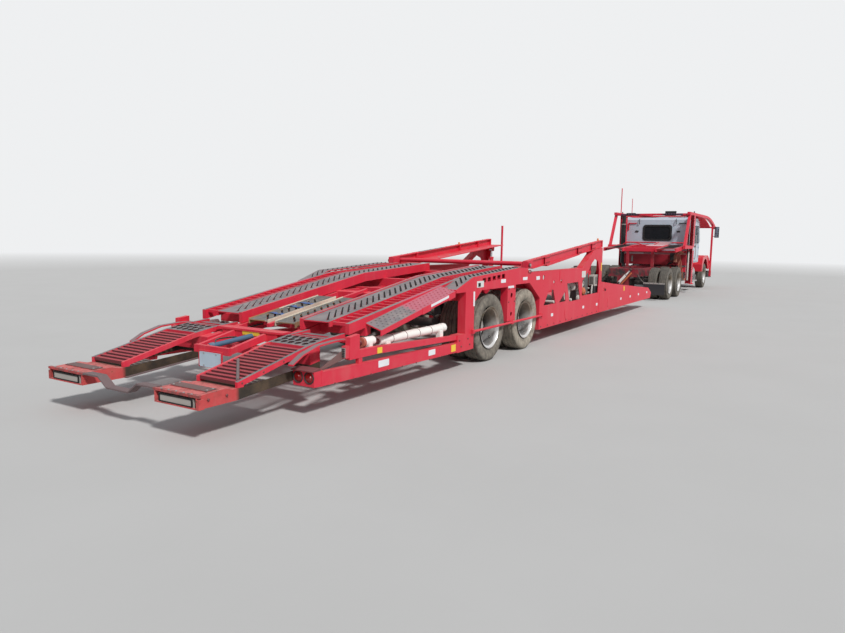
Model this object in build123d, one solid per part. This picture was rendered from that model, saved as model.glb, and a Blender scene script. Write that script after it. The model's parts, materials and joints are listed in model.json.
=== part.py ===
from build123d import *
import math
import os

# Articulated car transporter: a conventional tractor with a head rack over its cab, and a low trailer.
# Millimetres, X forward, Y left, Z up, origin on the ground at the middle of the whole length.

# Overall places along the truck
TAIL_REACH = 4770  # rear end of the trailer behind the rear trailer axle
HITCH_AHEAD = 10740  # hitch pin ahead of the rear trailer axle
RACK_REACH = 9950  # front end of the head rack ahead of the hitch pin
LENGTH = TAIL_REACH + HITCH_AHEAD + RACK_REACH
AX = TAIL_REACH - LENGTH / 2  # rear trailer axle
PV = AX + HITCH_AHEAD  # hitch pin

# Wheels
TYRE_R = 465
TYRE_W = 255
TYRE_SHOULDER = 34
SHOULDER_DROP = 30
RIM_R = 290
RIM_WALL = 14
RIM_LIP = 6  # how far a rim stands short of its tyre's face
TWIN_PITCH = 310  # middle to middle of two twin tyres
SIDES = 20  # flats round a tyre, one of them on the ground
HUB_R = 105
DRUM_R = 205
STUB_R = 45
RUN = 0.8  # running clearance between a pin or stub and its bore
STEER_W = 270
AXLE_R = 63
TANDEM = 1240  # trailer axle spacing
TRAILER_FACE = 1270  # outer tyre face of the trailer wheels
DRIVE_FACE = 1220
STEER_FACE = 1145
DRIVE_1 = 1620  # rear drive axle ahead of the hitch pin
DRIVE_2 = 2940
STEER_X = 8370

# Trailer side girders
SIDE_Y = 1295  # outer face of a girder
WEB = 12
FLANGE = 14
FLANGE_W = 110
BELLY_Z = 250  # underside of the girders
ARCH_TOP = 1000
RAMP_PIN_R = 24

# Rear tracks
TRACK_IN = 480
TRACK_OUT = 840
LADDER_OUT = 1040
EDGE_OUT = 1090
PANEL_OUT = 1290
SKIN = 12
EDGE_DEPTH = 110
EDGE_WIDE = 50
SKIN_LIFT = 12
PANEL_TILT = 60  # how much lower the outer edge of a side panel lies
TRACK_PITCH = 115  # louvre to louvre and rung to rung
LOUVRE_RUN = 270
OVER_RUN = 170  # the same for the strip over the wheels
LOUVRE_WIDE = 36

# Trailer frame
BEAM_IN = 400
BEAM_OUT = 480
BEAM_TOP = 960
BEAM_BOTTOM = 800
SILL = BELLY_Z + FLANGE  # top of the girders' lower flange
LOW_TOP = 344
PAN = 16

# Hitch
HITCH_PIN_R = 40
COUPLER_R = 130
STINGER_TOP = 330
STINGER_T = 80
COUPLER_GAP = 6
COUPLER_T = 95

# Tractor
RAIL_IN = 350
RAIL_OUT = 430
RAIL_TOP = 900
RAIL_BOTTOM = 660
CAB_BACK = 5200
CAB_Y = 1070
CAB_WALL = 40
CAB_FLOOR = 1000
DOOR_GAP = 7
DOOR_PIN = (7112, 1084)
DOOR_PIN_R = 8
KNUCKLE_R = 13
EYE_DRIFT = 4  # play of a lifting rod's eye on its pin
HOOD_BACK = 7262
HOOD_Y = 540
FENDER_Y = 1165
FENDER_SKIN = 25
KINGPIN_Y = 850
KINGPIN_R = 25
RACK_TOP = 2700
RACK_IN = 1140
RACK_OUT = 1240

# Tilting hood's hinge, tractor deck and head rack deck
HOOD_PIN = (9330, 660)
HOOD_PIN_R = 15
DECK_LINE = [(2700, 1500), (4600, 1620)]
DECK_DEPTH = 110
DECK_Y = 1140
DECK_PIN = (4560, 1550)
DECK_PIN_R = 20
RACK_DECK_IN = 580
RACK_DECK_OUT = 1030
RACK_DECK_T = 40
RACK_PIN_X = RACK_REACH - 70
REAR_POST = 4980
POST_DEEP = 210
POST_SKIN = 14
POST_IN = 1040
FRONT_POST = RACK_REACH - 660
FRONT_POST_DEEP = 80
RACK_PIN_R = 18
GUIDE_R = 16
GUIDE_TOP = 3570  # tip of the tall rod on the left rear post
WHIP_TOP = 3160


# Shapes

def box(x0, x1, y0, y1, z0, z1):
    """A box between two corners."""
    middle = Pos((x0 + x1) / 2, (y0 + y1) / 2, (z0 + z1) / 2)
    return middle * Box(x1 - x0, y1 - y0, z1 - z0)


def outline(points):
    """A flat face inside straight lines."""
    return make_face(Polyline(*points, close=True))


def side_plate(points, y0, y1):
    """A plate cut to a side view of (x, z) points, from y0 to y1."""
    return extrude(Plane.XZ.offset(-y1) * outline(points), y1 - y0)


def plan_plate(points, z0, z1):
    """A plate cut to a plan of (x, y) points, from z0 to z1."""
    return extrude(Plane.XY.offset(z0) * outline(points), z1 - z0)


def across(radius, x, z, y0, y1):
    """A round bar along Y."""
    return Pos(x, (y0 + y1) / 2, z) * Rot(90, 0, 0) * Cylinder(radius, y1 - y0)


def upright(radius, x, y, z0, z1):
    """A round bar along Z."""
    return Pos(x, y, (z0 + z1) / 2) * Cylinder(radius, z1 - z0)


def along(radius, x0, x1, y, z):
    """A round bar along X."""
    return Pos((x0 + x1) / 2, y, z) * Rot(0, 90, 0) * Cylinder(radius, x1 - x0)


def rod(radius, start, end):
    """A round bar from one point to another."""
    run = Vector(*end) - Vector(*start)
    place = Plane(origin=start, z_dir=run)
    return place * Cylinder(radius, run.length, align=(Align.CENTER, Align.CENTER, Align.MIN))


def strip(line, y0, y1, depth, lift=0):
    """A band under a line of (x, z) points: its top follows the line, depth below it is its underside."""
    top = [(x, z + lift) for x, z in line]
    under = [(x, z + lift - depth) for x, z in reversed(line)]
    return side_plate(top + under, y0, y1)


def level(line, x):
    """Height of a line of (x, z) points at x."""
    for (xa, za), (xb, zb) in zip(line, line[1:]):
        if xa <= x <= xb:
            return za + (zb - za) * (x - xa) / (xb - xa)
    return line[-1][1]


def both(shape):
    """A shape and its mirror image on the other side of the truck."""
    return [shape, mirror(shape, about=Plane.XZ)]


def fuse(*shapes):
    """One shape from many that overlap or touch."""
    flat = []
    for shape in shapes:
        flat.extend(shape if isinstance(shape, list) else [shape])
    return flat[0] + flat[1:] if len(flat) > 1 else flat[0]


def trailer(points):
    """Points given from the rear trailer axle."""
    return [(AX + x, z) for x, z in points]


def tractor(points):
    """Points given from the hitch pin."""
    return [(PV + x, z) for x, z in points]


def save(name, *shapes):
    """Write one sub-part."""
    solids = []
    for shape in shapes:
        for item in shape if isinstance(shape, list) else [shape]:
            solids.extend(item.solids())
    export_step(Compound(children=solids) if len(solids) > 1 else solids[0], f"parts/{name}.step")


# Wheels

def ring_face(apothem):
    """A many-sided face that stands on a flat."""
    return RegularPolygon(apothem, SIDES, major_radius=False, rotation=180 / SIDES)


def tyre(x, y, width):
    """One tyre: flat tread, sloping shoulders, open in the middle."""
    half = width / 2
    stations = [
        (-half, TYRE_R - SHOULDER_DROP),
        (TYRE_SHOULDER - half, TYRE_R),
        (half - TYRE_SHOULDER, TYRE_R),
        (half, TYRE_R - SHOULDER_DROP),
    ]
    place = Pos(x, y, TYRE_R) * Rot(90, 0, 0)
    body = loft([Pos(0, 0, at) * ring_face(r) for at, r in stations], ruled=True)
    hole = extrude(Pos(0, 0, -half) * ring_face(RIM_R), width)
    return place * (body - hole)


def rim(x, y0, y1, disc0, disc1, drum, hub, bore_from, bore_to):
    """A rim tube with its disc, brake drum, hub and the bore for the stub. All places are along Y."""
    place = Pos(x, 0, TYRE_R) * Rot(-90, 0, 0)
    tube = extrude(Pos(0, 0, y0) * ring_face(RIM_R), y1 - y0)
    tube -= extrude(Pos(0, 0, y0) * ring_face(RIM_R - RIM_WALL), y1 - y0)
    disc = extrude(Pos(0, 0, disc0) * ring_face(RIM_R - RIM_WALL), disc1 - disc0)
    body = tube + disc
    if drum < disc0:
        body += extrude(Pos(0, 0, drum) * RegularPolygon(DRUM_R, 16), disc0 - drum)
    if hub > disc1:
        body += extrude(Pos(0, 0, disc1) * RegularPolygon(HUB_R, 12), hub - disc1)
    body -= Pos(0, 0, (bore_from + bore_to) / 2) * Cylinder(STUB_R + RUN, bore_to - bore_from)
    return place * body


def twin_wheel(name, x, face, side):
    """Twin tyres and their rims on one hub. face is the outer tyre face, side is 1 for left, -1 for right."""
    outer = face - TYRE_W / 2
    inner = outer - TWIN_PITCH
    middle = (outer + inner) / 2
    tyres = [tyre(x, outer, TYRE_W), tyre(x, inner, TYRE_W)]
    inside = inner - TYRE_W / 2
    wheel = rim(
        x, inside + RIM_LIP, face - RIM_LIP, middle - 12, middle + 12,
        inside + 50, middle + 130, inside + 49, middle + 110,
    )
    if side < 0:
        tyres = [mirror(part, about=Plane.XZ) for part in tyres]
        wheel = mirror(wheel, about=Plane.XZ)
    save(f"{name}_tyres", tyres)
    save(f"{name}_rim", wheel)


def steer_wheel(name, x, side):
    """The single steered wheel."""
    middle = STEER_FACE - STEER_W / 2
    inside = middle - STEER_W / 2
    rubber = tyre(x, middle, STEER_W)
    wheel = rim(
        x, inside + RIM_LIP, STEER_FACE - RIM_LIP, middle + 30, middle + 50,
        middle - 60, middle + 90, middle - 61, middle + 75,
    )
    if side < 0:
        rubber = mirror(rubber, about=Plane.XZ)
        wheel = mirror(wheel, about=Plane.XZ)
    save(f"{name}_tyre", rubber)
    save(f"{name}_rim", wheel)


def twin_stub(x, face):
    """The axle tube half that carries one twin wheel on the left."""
    outer = face - TYRE_W / 2
    middle = outer - TWIN_PITCH / 2
    inside = outer - TWIN_PITCH - TYRE_W / 2
    tube = across(AXLE_R, x, TYRE_R, 0, inside + 44)
    return [tube, across(STUB_R, x, TYRE_R, inside + 44, middle + 108)]


def wheels():
    """Every wheel: name, place, outer tyre face."""
    twins = [
        ("trailer_rear", AX, TRAILER_FACE),
        ("trailer_front", AX + TANDEM, TRAILER_FACE),
        ("drive_rear", PV + DRIVE_1, DRIVE_FACE),
        ("drive_front", PV + DRIVE_2, DRIVE_FACE),
    ]
    for name, x, face in twins:
        twin_wheel(f"{name}_left", x, face, 1)
        twin_wheel(f"{name}_right", x, face, -1)
    steer_wheel("steer_left", PV + STEER_X, 1)
    steer_wheel("steer_right", PV + STEER_X, -1)


# Trailer

RAMP_LINE = [(1222, 1350), (5080, 1700)]
RAMP_DEPTH = 140
RAMP_UNDER = [
    # x, depth of the rail's underside below its top
    (1222, 118), (1430, 118), (1450, RAMP_DEPTH), (2020, RAMP_DEPTH), (2050, 170), (3650, 152),
    (3680, RAMP_DEPTH), (5080, RAMP_DEPTH),
]
REST_GAP = 6
REST_REAR = level(RAMP_LINE, 4480) - RAMP_DEPTH - REST_GAP
REST_FRONT = level(RAMP_LINE, 5050) - RAMP_DEPTH - REST_GAP

GIRDER = [
    (-1050, 1000), (-800, 1000), (-800, 470), (-1000, 470), (-1000, BELLY_Z), (-560, BELLY_Z),
    (-560, 850), (-350, ARCH_TOP), (480, ARCH_TOP), (480, 500), (760, 500), (760, 1020),
    (1290, 1020), (1720, 760), (1720, BELLY_Z), (9450, BELLY_Z), (9550, 380), (9200, 530),
    (8000, 620), (7000, 700), (6000, 780), (5050, 870), (5050, REST_FRONT), (4480, REST_REAR),
    (3800, 1180), (1250, 1180), (1200, 1240), (900, 1250), (-600, 1170), (-1050, 1030),
]
GIRDER_TOP = [(-1050, 1030), (-600, 1170), (900, 1250), (1200, 1240)]
GIRDER_FRONT_TOP = [(5050, 870), (6000, 780), (7000, 700), (8000, 620), (9200, 530)]
CUTOUTS = [
    [(1900, 620), (2450, 620), (2330, 860), (2120, 860)],
    [(2620, 620), (2950, 620), (2920, 800)],
    [(3150, 600), (3750, 600), (3600, 930), (3000, 930)],
    [(3840, 660), (4850, 660), (4880, 1090), (4770, 1280), (4570, 1340), (4390, 1260), (4180, 1100),
     (3840, 950)],
]
ARCH_SLOTS = range(-330, 420, 150)  # rear ends of the slots above the rear wheel
ROUND_HOLES = [
    # x, z, radius
    (2350, 980, 35), (2700, 980, 35), (1870, 1080, 40), (5250, 700, 40), (5700, 450, 40),
    (620, 870, 38), (620, 600, 32),
]
RAMP_PIN = (1270, 1290)


def girder():
    """The left side girder: a web with holes, a flange all round it, and the pin of the upper ramp."""
    shape = trailer(GIRDER)
    web = side_plate(shape, SIDE_Y - WEB, SIDE_Y)
    face = outline(shape)
    band = face - offset(face, -FLANGE, kind=Kind.INTERSECTION)
    flange = extrude(Plane.XZ.offset(-SIDE_Y) * band, FLANGE_W)
    for points in CUTOUTS:
        web -= side_plate(trailer(points), SIDE_Y - WEB, SIDE_Y)
    for x in ARCH_SLOTS:
        line = trailer([(end, level(GIRDER_TOP, end)) for end in (x, x + 105)])
        web -= strip(line, SIDE_Y - WEB, SIDE_Y, 60, -30)
    for x, z, r in ROUND_HOLES:
        web -= across(r, AX + x, z, SIDE_Y - WEB, SIDE_Y)
    px, pz = RAMP_PIN
    lug_y = SIDE_Y - FLANGE_W
    lug = side_plate(trailer([(px - 80, 1150), (px + 80, 1150), (px + 40, pz + 45), (px - 40, pz + 45)]),
                     lug_y - 16, lug_y)
    pin = across(RAMP_PIN_R, AX + px, pz, lug_y, SIDE_Y - 6)
    return fuse(web, flange, lug, pin)


REAR_TRACK = [(-2920, 793), (-600, 1160), (1180, 1262)]
OUTER_PANEL = [(-2640, 714), (-1056, 1026)]
LADDER = [(-4350, 440), (-3480, 630)]
HOLE_PLATE = [(-3480, 630), (-3210, 668)]
LADDER_T = 50
LADDER_IN = 520
TAIL_OUT = 1030
LADDER_RAIL = 30
RUNGS = 13
RUNG_T = 30
HOLE_R = 26
BOX_TOP = 390
BOX_FLOOR = 290
TAIL_CROSS = (-3440, -3300)  # the cross member under the hole plates
TAIL_CROSS_DEEP = 140


def outrigger(x, y_end, deep):
    """A cross beam under the rear tracks: its top follows their slope."""
    half = 45
    line = trailer([(x - half, level(REAR_TRACK, x - half)), (x + half, level(REAR_TRACK, x + half))])
    return strip(line, -y_end, y_end, deep, -EDGE_DEPTH)


def rear_frame():
    """The frame over the trailer axles and under the rear tracks."""
    under_plate = [(x, level(HOLE_PLATE, x) - LADDER_T) for x in TAIL_CROSS]
    (xa, za), (xb, zb) = under_plate
    beam = side_plate(
        trailer([(xa, za - TAIL_CROSS_DEEP), (-3000, 540), (-1100, BEAM_BOTTOM), (1880, BEAM_BOTTOM),
                 (1880, BEAM_TOP), (-1100, BEAM_TOP), (-2920, 676), (xb, zb), (xa, za)]),
        BEAM_IN, BEAM_OUT,
    )
    tail = both(strip(trailer(under_plate), BEAM_IN, TAIL_OUT, TAIL_CROSS_DEEP))
    tail.append(box(AX + xa, AX + xb, -BEAM_IN, BEAM_IN, zb - TAIL_CROSS_DEEP, 540))
    arms = [outrigger(x, EDGE_OUT, 90) for x in (-2600, -1900, -1200)]
    arms += [outrigger(x, EDGE_OUT, level(REAR_TRACK, x) - EDGE_DEPTH - BEAM_TOP + 30) for x in (-100, 1100)]
    column = [
        box(AX - 760, AX - 640, -(SIDE_Y - WEB), SIDE_Y - WEB, 880, 980),
        box(AX + 560, AX + 680, -(SIDE_Y - WEB), SIDE_Y - WEB, 940, 1060),
        box(AX + 1500, AX + 1620, -(SIDE_Y - WEB), SIDE_Y - WEB, 1050, 1140),
    ]
    posts = both(box(AX + 1500, AX + 1620, BEAM_IN, BEAM_OUT, BEAM_TOP, 1050))
    wall = box(AX + 1880, AX + 1900, -1180, 1180, SILL, BEAM_TOP)
    struts = both(rod(32, (AX - 1880, 620, 800), (AX - 700, 1120, 920)))
    return fuse(both(beam), tail, arms, column, posts, wall, struts)


def low_deck():
    """The low bay between the girders, with its wheel pans and the neck to the hitch."""
    reach = SIDE_Y - WEB
    cross = [
        box(AX + x, AX + x + 100, -reach, reach, SILL, LOW_TOP)
        for x in (1920, 3000, 3900, 4740, 5800, 6900, 8000)
    ]
    nose = box(AX + 9300, AX + 9420, -reach, reach, SILL, 420)
    rails = both(box(AX + 1900, AX + 9300, BEAM_IN, BEAM_OUT, SILL, LOW_TOP))
    pans = both(box(AX + 1900, AX + 9300, 450, 900, LOW_TOP, LOW_TOP + PAN))
    coupler_z = STINGER_TOP + COUPLER_GAP
    neck_plan = [
        (AX + 8500, -260), (AX + 9420, -260), (PV - 60, -120), (PV - 60, 120), (AX + 9420, 260),
        (AX + 8500, 260),
    ]
    neck = plan_plate(neck_plan, coupler_z, coupler_z + COUPLER_T)
    head = upright(COUPLER_R, PV, 0, coupler_z, coupler_z + COUPLER_T)
    bore = upright(HITCH_PIN_R + RUN, PV, 0, coupler_z - 1, coupler_z + COUPLER_T + 1)
    return fuse(rails, cross, nose, pans, neck, head) - bore


def louvres(x0, x1, y0, y1, run, z0, z1):
    """Cutters for the slanting louvres of a track between y0 and y1. A negative run leans them back."""
    cutters = []
    x = x0 + max(0, -run)
    while x + LOUVRE_WIDE + max(0, run) <= x1:
        points = [(x, y0), (x + LOUVRE_WIDE, y0), (x + LOUVRE_WIDE + run, y1), (x + run, y1)]
        cutters.append(plan_plate(points, z0, z1))
        x += TRACK_PITCH
    return cutters


def side_panel():
    """The tilted outer panel beside the left track, with its lip and two bracket boxes."""
    (x0, z0), (x1, z1) = trailer(OUTER_PANEL)
    section = [
        (EDGE_OUT, z0 + PANEL_TILT), (PANEL_OUT, z0), (PANEL_OUT, z0 - 60), (PANEL_OUT - SKIN, z0 - 60),
        (PANEL_OUT - SKIN, z0 - SKIN), (EDGE_OUT, z0 + PANEL_TILT - SKIN),
    ]
    sheet = extrude(Plane.YZ.offset(x0) * outline(section), x1 - x0, dir=(x1 - x0, 0, z1 - z0))
    boxes = []
    for xa, xb in ((-1830, -1650), (-1230, -1070)):
        line = trailer([(xa, level(OUTER_PANEL, xa)), (xb, level(OUTER_PANEL, xb))])
        boxes.append(strip(line, PANEL_OUT - 30, PANEL_OUT + 4, 75, 6))
    return fuse(sheet, boxes)


def rear_track(lean):
    """The left rear track: louvred plate, edge beams, rungs, outer panel and the strip over the wheels.

    lean is 1 where the louvres run forward to the outside and -1 where they run back.
    """
    line = trailer(REAR_TRACK)
    top_z = REAR_TRACK[-1][1] + 20
    low_z = REAR_TRACK[0][1] - 40
    plate = strip(line, TRACK_IN, TRACK_OUT, SKIN)
    run = lean * LOUVRE_RUN
    plate -= louvres(line[0][0] + 40, line[-1][0], TRACK_IN + 90, TRACK_OUT - 80, run, low_z, top_z)
    inner = strip(line, TRACK_IN - EDGE_WIDE, TRACK_IN, EDGE_DEPTH + 10, 10)
    outer = strip(line, LADDER_OUT, EDGE_OUT, EDGE_DEPTH)
    mid = strip(line, TRACK_OUT - 16, TRACK_OUT, 60, 6)
    rungs = []
    for x in range(REAR_TRACK[0][0] + 40, REAR_TRACK[-1][0] - 80, TRACK_PITCH):
        top = level(REAR_TRACK, x) - 8
        rungs.append(box(AX + x, AX + x + 40, TRACK_OUT, LADDER_OUT, top - 30, top))
    over = strip(trailer(GIRDER_TOP), EDGE_OUT, PANEL_OUT, SKIN, SKIN_LIFT)
    over -= louvres(AX - 960, AX + 1180, EDGE_OUT + 40, PANEL_OUT - 45, lean * OVER_RUN, 980, top_z)
    return fuse(plate, inner, outer, mid, rungs, side_panel(), over)


def tail_ramp():
    """The left tail ramp: a ladder of rungs, the plate with big holes and the open frame ahead of it."""
    y0, y1 = LADDER_IN, TAIL_OUT
    (xa, za), (xb, zb) = LADDER
    sides = [(y0, y0 + LADDER_RAIL), (y1 - LADDER_RAIL, y1)]
    rails = [strip(trailer(LADDER), ya, yb, LADDER_T) for ya, yb in sides]
    pitch = (xb - xa - LADDER_RAIL - 10) / RUNGS
    rungs = []
    for i in range(RUNGS):
        x = xa + 10 + i * pitch
        line = trailer([(x, level(LADDER, x)), (x + RUNG_T, level(LADDER, x + RUNG_T))])
        rungs.append(strip(line, y0 + LADDER_RAIL, y1 - LADDER_RAIL, RUNG_T))
    feet = [box(AX + xa + 10, AX + xa + 70, ya, yb, BOX_TOP, za - LADDER_T + 15) for ya, yb in sides]
    plate = strip(trailer(HOLE_PLATE), y0, y1, LADDER_T)
    for row in range(3):
        for i in range(5):
            place = Pos(AX - 3425 + row * 80, y0 + 75 + i * 90 + 20 * (row % 2), 560)
            plate -= place * extrude(RegularPolygon(HOLE_R, 8), 140)
    front_line = trailer([(-3210, 668), (-2900, 690)])
    front = [strip(front_line, y0, y0 + 40, LADDER_T), strip(front_line, y1 - 40, y1, LADDER_T)]
    bars = [box(AX + x, AX + x + wide, y0 + 40, y1 - 40, 640, 664) for x, wide in ((-3150, 40), (-3040, 90))]
    return fuse(rails, rungs, feet, plate, front, bars)


def loose_bar():
    """The flat bar that lies slantwise on the right ladder."""
    start, end = (-4320, -1000), (-3960, -620)
    ends = [(AX + x, y, level(LADDER, x) + 6) for x, y in (start, end)]
    return rod(14, *ends)


def tail_beam():
    """The left tail beam: a channel that carries the tail ramp and ends in a low box for a skid."""
    xa, xb = TAIL_CROSS
    end_x = -TAIL_REACH
    seat = [(x, level(HOLE_PLATE, x) - LADDER_T - TAIL_CROSS_DEEP) for x in (xb, xa)]
    points = trailer([
        (end_x, BOX_FLOOR), (-4350, BOX_FLOOR), (xb, 372), *seat, (-4250, BOX_TOP), (-4400, BOX_TOP),
        (-4480, 412), (end_x, 400),
    ])
    y0, y1 = LADDER_IN - 10, TAIL_OUT
    cheeks = [side_plate(points, y0, y0 + SKIN), side_plate(points, y1 - SKIN, y1)]
    inside = (y0 + SKIN, y1 - SKIN)
    top = side_plate(trailer([
        (end_x, 400 - SKIN), (end_x, 400), (-4480, 412), (-4400, BOX_TOP), (-4250, BOX_TOP),
        (-4250, BOX_TOP - SKIN), (-4405, BOX_TOP - SKIN), (-4485, 412 - SKIN),
    ]), *inside)
    floor = box(AX + end_x, AX - 4350, *inside, BOX_FLOOR, BOX_FLOOR + SKIN)
    front = box(AX + xb - SKIN, AX + xb, *inside, 380, 440)
    lid = side_plate(trailer([(-4640, 405), (-4540, 409), (-4540, 419), (-4640, 415)]), y0 + 40, y1 - 40)
    lip = box(AX + end_x, AX + end_x + 30, y0 - 20, y1 + 20, 386, 408)
    end = box(AX + end_x, AX + end_x + 55, y1 - SKIN, y1 + 20, BOX_FLOOR, 372)
    flange = [(-4350, BOX_FLOOR), (xb, 372), (xb, 372 + SKIN), (-4350, BOX_FLOOR + SKIN)]
    flange = side_plate(trailer(flange), y0 - 40, y0)
    return fuse(cheeks, top, floor, front, lid, lip, end, flange)


def tail_bar():
    """The bent flat bar between the two end boxes."""
    half = LADDER_IN - 30
    line = [(-half, 408), (-270, 408), (-150, 322), (150, 322), (270, 408), (half, 408)]
    under = [(y, z - 14) for y, z in reversed(line)]
    return extrude(Plane.YZ.offset(AX - TAIL_REACH) * outline(line + under), 90)


PLATE_HOLES = (177.8, 120.65)
PLATE_Z = 430
FRAME_REAR = -3700


def tail_frame():
    """The centre frame at the tail, with the plate holder and its ram."""
    cross = fuse(
        box(AX - 3230, AX - 3110, -BEAM_IN, BEAM_IN, 570, 665),
        box(AX - 3240, AX - 3100, -BEAM_OUT, BEAM_OUT, 660, 680),
    )
    rail = [(-3230, 580), (FRAME_REAR, 500), (FRAME_REAR, 560), (-3230, 655)]
    rails = both(side_plate(trailer(rail), 210, 250))
    back = box(AX + FRAME_REAR - 40, AX + FRAME_REAR, -250, 250, 490, 565)
    face = FRAME_REAR - 40 - SKIN
    holder = box(AX + face, AX + face + SKIN, -170, 170, 350, 520)
    across_holes, up_holes = PLATE_HOLES
    for y in (-across_holes / 2, across_holes / 2):
        for z in (PLATE_Z - up_holes / 2, PLATE_Z + up_holes / 2):
            holder -= along(3.5, AX + face - 10, AX + face + SKIN + 10, y, z)
    ram = rod(26, (AX + FRAME_REAR - 10, 90, 545), (AX - 3220, -40, 615))
    return fuse(cross, rails, back, holder, ram)


LAMP_REAR = -3690
LAMP_PLACES = (1102, 1233)
LAMP_Z = 388
LAMP_R = 50
LAMP_DEEP = 25
LAMP_GAP = 4  # round each lamp in its box
RAIL_WIDE = (1225, 1285)
CYLINDER_R = 50
BAND_R = 54
TOUCH_GAP = 0.3  # between two parts that lie side by side
CYLINDER_Y = RAIL_WIDE[0] - BAND_R - TOUCH_GAP


def tail_rail():
    """The left lower side rail with its lamp box, second rail, bracket and the bent guide behind it."""
    rail = side_plate(trailer([(-3590, 300), (-3590, 432), (-1000, 380), (-1000, 260)]), 1225, SIDE_Y)
    lamp_box = side_plate(trailer([
        (LAMP_REAR, 305), (-3590, 300), (-3560, 432), (-3600, 462), (LAMP_REAR, 452),
    ]), 1042, 1292)
    lid = side_plate(trailer([
        (LAMP_REAR - 25, 446), (LAMP_REAR - 25, 456), (-3600, 470), (-3600, 460),
    ]), 1036, 1294)
    for y in LAMP_PLACES:
        lamp_box -= along(LAMP_R + LAMP_GAP, AX + LAMP_REAR - 1, AX + LAMP_REAR + LAMP_DEEP, y, LAMP_Z)
    second = side_plate(trailer([
        (-3160, 480), (-3150, 700), (-3000, 716), (-3000, 556), (-2686, 553), (-1000, 470),
        (-1000, 415), (-2686, 477),
    ]), *RAIL_WIDE)
    hanger = box(AX - 3010, AX - 2950, 1240, 1280, 420, 480)
    gusset = side_plate(trailer([
        (-3580, 436), (-3190, 580), (-3150, 580), (-3150, 500), (-3540, 430),
    ]), 1228, 1240)
    guide_line = trailer([(-3830, 525), (-3690, 597), (-3470, 655), (-3220, 668), (-3040, 662)])
    guide = strip(guide_line, 1110, 1170, 16)
    tie = box(AX - 3110, AX - 3050, 1110, 1240, 632, 660)
    block = box(AX - 3215, AX - 3150, 1228, 1280, 500, 620)
    return fuse(rail, lamp_box, lid, second, hanger, gusset, guide, tie, block)


def tail_lamps():
    """Two round red lamps in each lamp box."""
    lamps = [along(LAMP_R, AX + LAMP_REAR, AX + LAMP_REAR + LAMP_DEEP, y, LAMP_Z) for y in LAMP_PLACES]
    return lamps + [mirror(lamp, about=Plane.XZ) for lamp in lamps]


def side_cylinder():
    """The white cylinder beside the left rear track, on two saddles, and the short one behind it."""
    barrel = along(CYLINDER_R, AX - 2530, AX - 1150, CYLINDER_Y, 580)
    bands = [along(BAND_R, AX + x, AX + x + 30, CYLINDER_Y, 580) for x in (-2500, -1230)]
    saddles = [box(AX + x, AX + x + 80, CYLINDER_Y, RAIL_WIDE[0], 450, 560) for x in (-2450, -1320)]
    stub = along(48, AX - 2830, AX - 2630, CYLINDER_Y, 600)
    seat = box(AX - 2760, AX - 2700, CYLINDER_Y, RAIL_WIDE[0], 485, 590)
    return [fuse(barrel, bands, saddles), fuse(stub, seat)]


def girder_top_front(x):
    """Height of the girder's top edge ahead of its column."""
    return level(GIRDER_FRONT_TOP, x)


def side_rods():
    """The rods across the trailer wheels, and the guide post on the left girder."""
    y = SIDE_Y + 20
    bar = fuse(
        along(17, AX - 640, AX + 1820, y, 480),
        box(AX - 640, AX - 590, SIDE_Y, SIDE_Y + 36, 455, 505),
        box(AX + 590, AX + 640, SIDE_Y, SIDE_Y + 36, 455, 505),
        box(AX + 1770, AX + 1820, SIDE_Y, SIDE_Y + 36, 455, 505),
    )
    post_x, post_r = 5740, 24
    post = upright(post_r, AX + post_x, 1240, girder_top_front(post_x - post_r) + TOUCH_GAP, 2000)
    return both(bar) + [post]


def power_unit():
    """The engine, pump and tank behind the right girder's openings."""
    engine = box(AX + 3900, AX + 4600, -1160, -930, LOW_TOP, 1050)
    tank = fuse(
        across(170, AX + 3400, 720, -1160, -930),
        box(AX + 3300, AX + 3500, -1160, -930, LOW_TOP, 700),
    )
    base = box(AX + 3200, AX + 4700, -1170, -920, LOW_TOP, LOW_TOP + 40)
    return fuse(engine, tank, base)


def trailer_axles():
    """Both trailer axles with the pedestals and beams that carry them."""
    parts = []
    for x in (AX, AX + TANDEM):
        half = fuse(twin_stub(x, TRAILER_FACE))
        foot = box(x - 60, x + 60, BEAM_IN, BEAM_OUT, TYRE_R, BEAM_BOTTOM)
        parts.extend(both(fuse(half, foot)))
    tie = both(box(AX, AX + TANDEM, BEAM_IN + 10, BEAM_OUT - 10, 600, 660))
    return fuse(parts, tie)


# Upper ramp

RAMP_IN = 900
RAMP_OUT = 1288
RAMP_EYE = (4860, 1480)
RAMP_FOOT = (4800, 430)
CYL_Y = 1080
CYL_R = 55
CYL_ROD_R = 30
EYE_PIN_R = 20


RAMP_BLOCK = 1420  # front end of the solid part round the hinge pin
RAMP_SPLICES = (2030, 3665, 4480)


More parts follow.
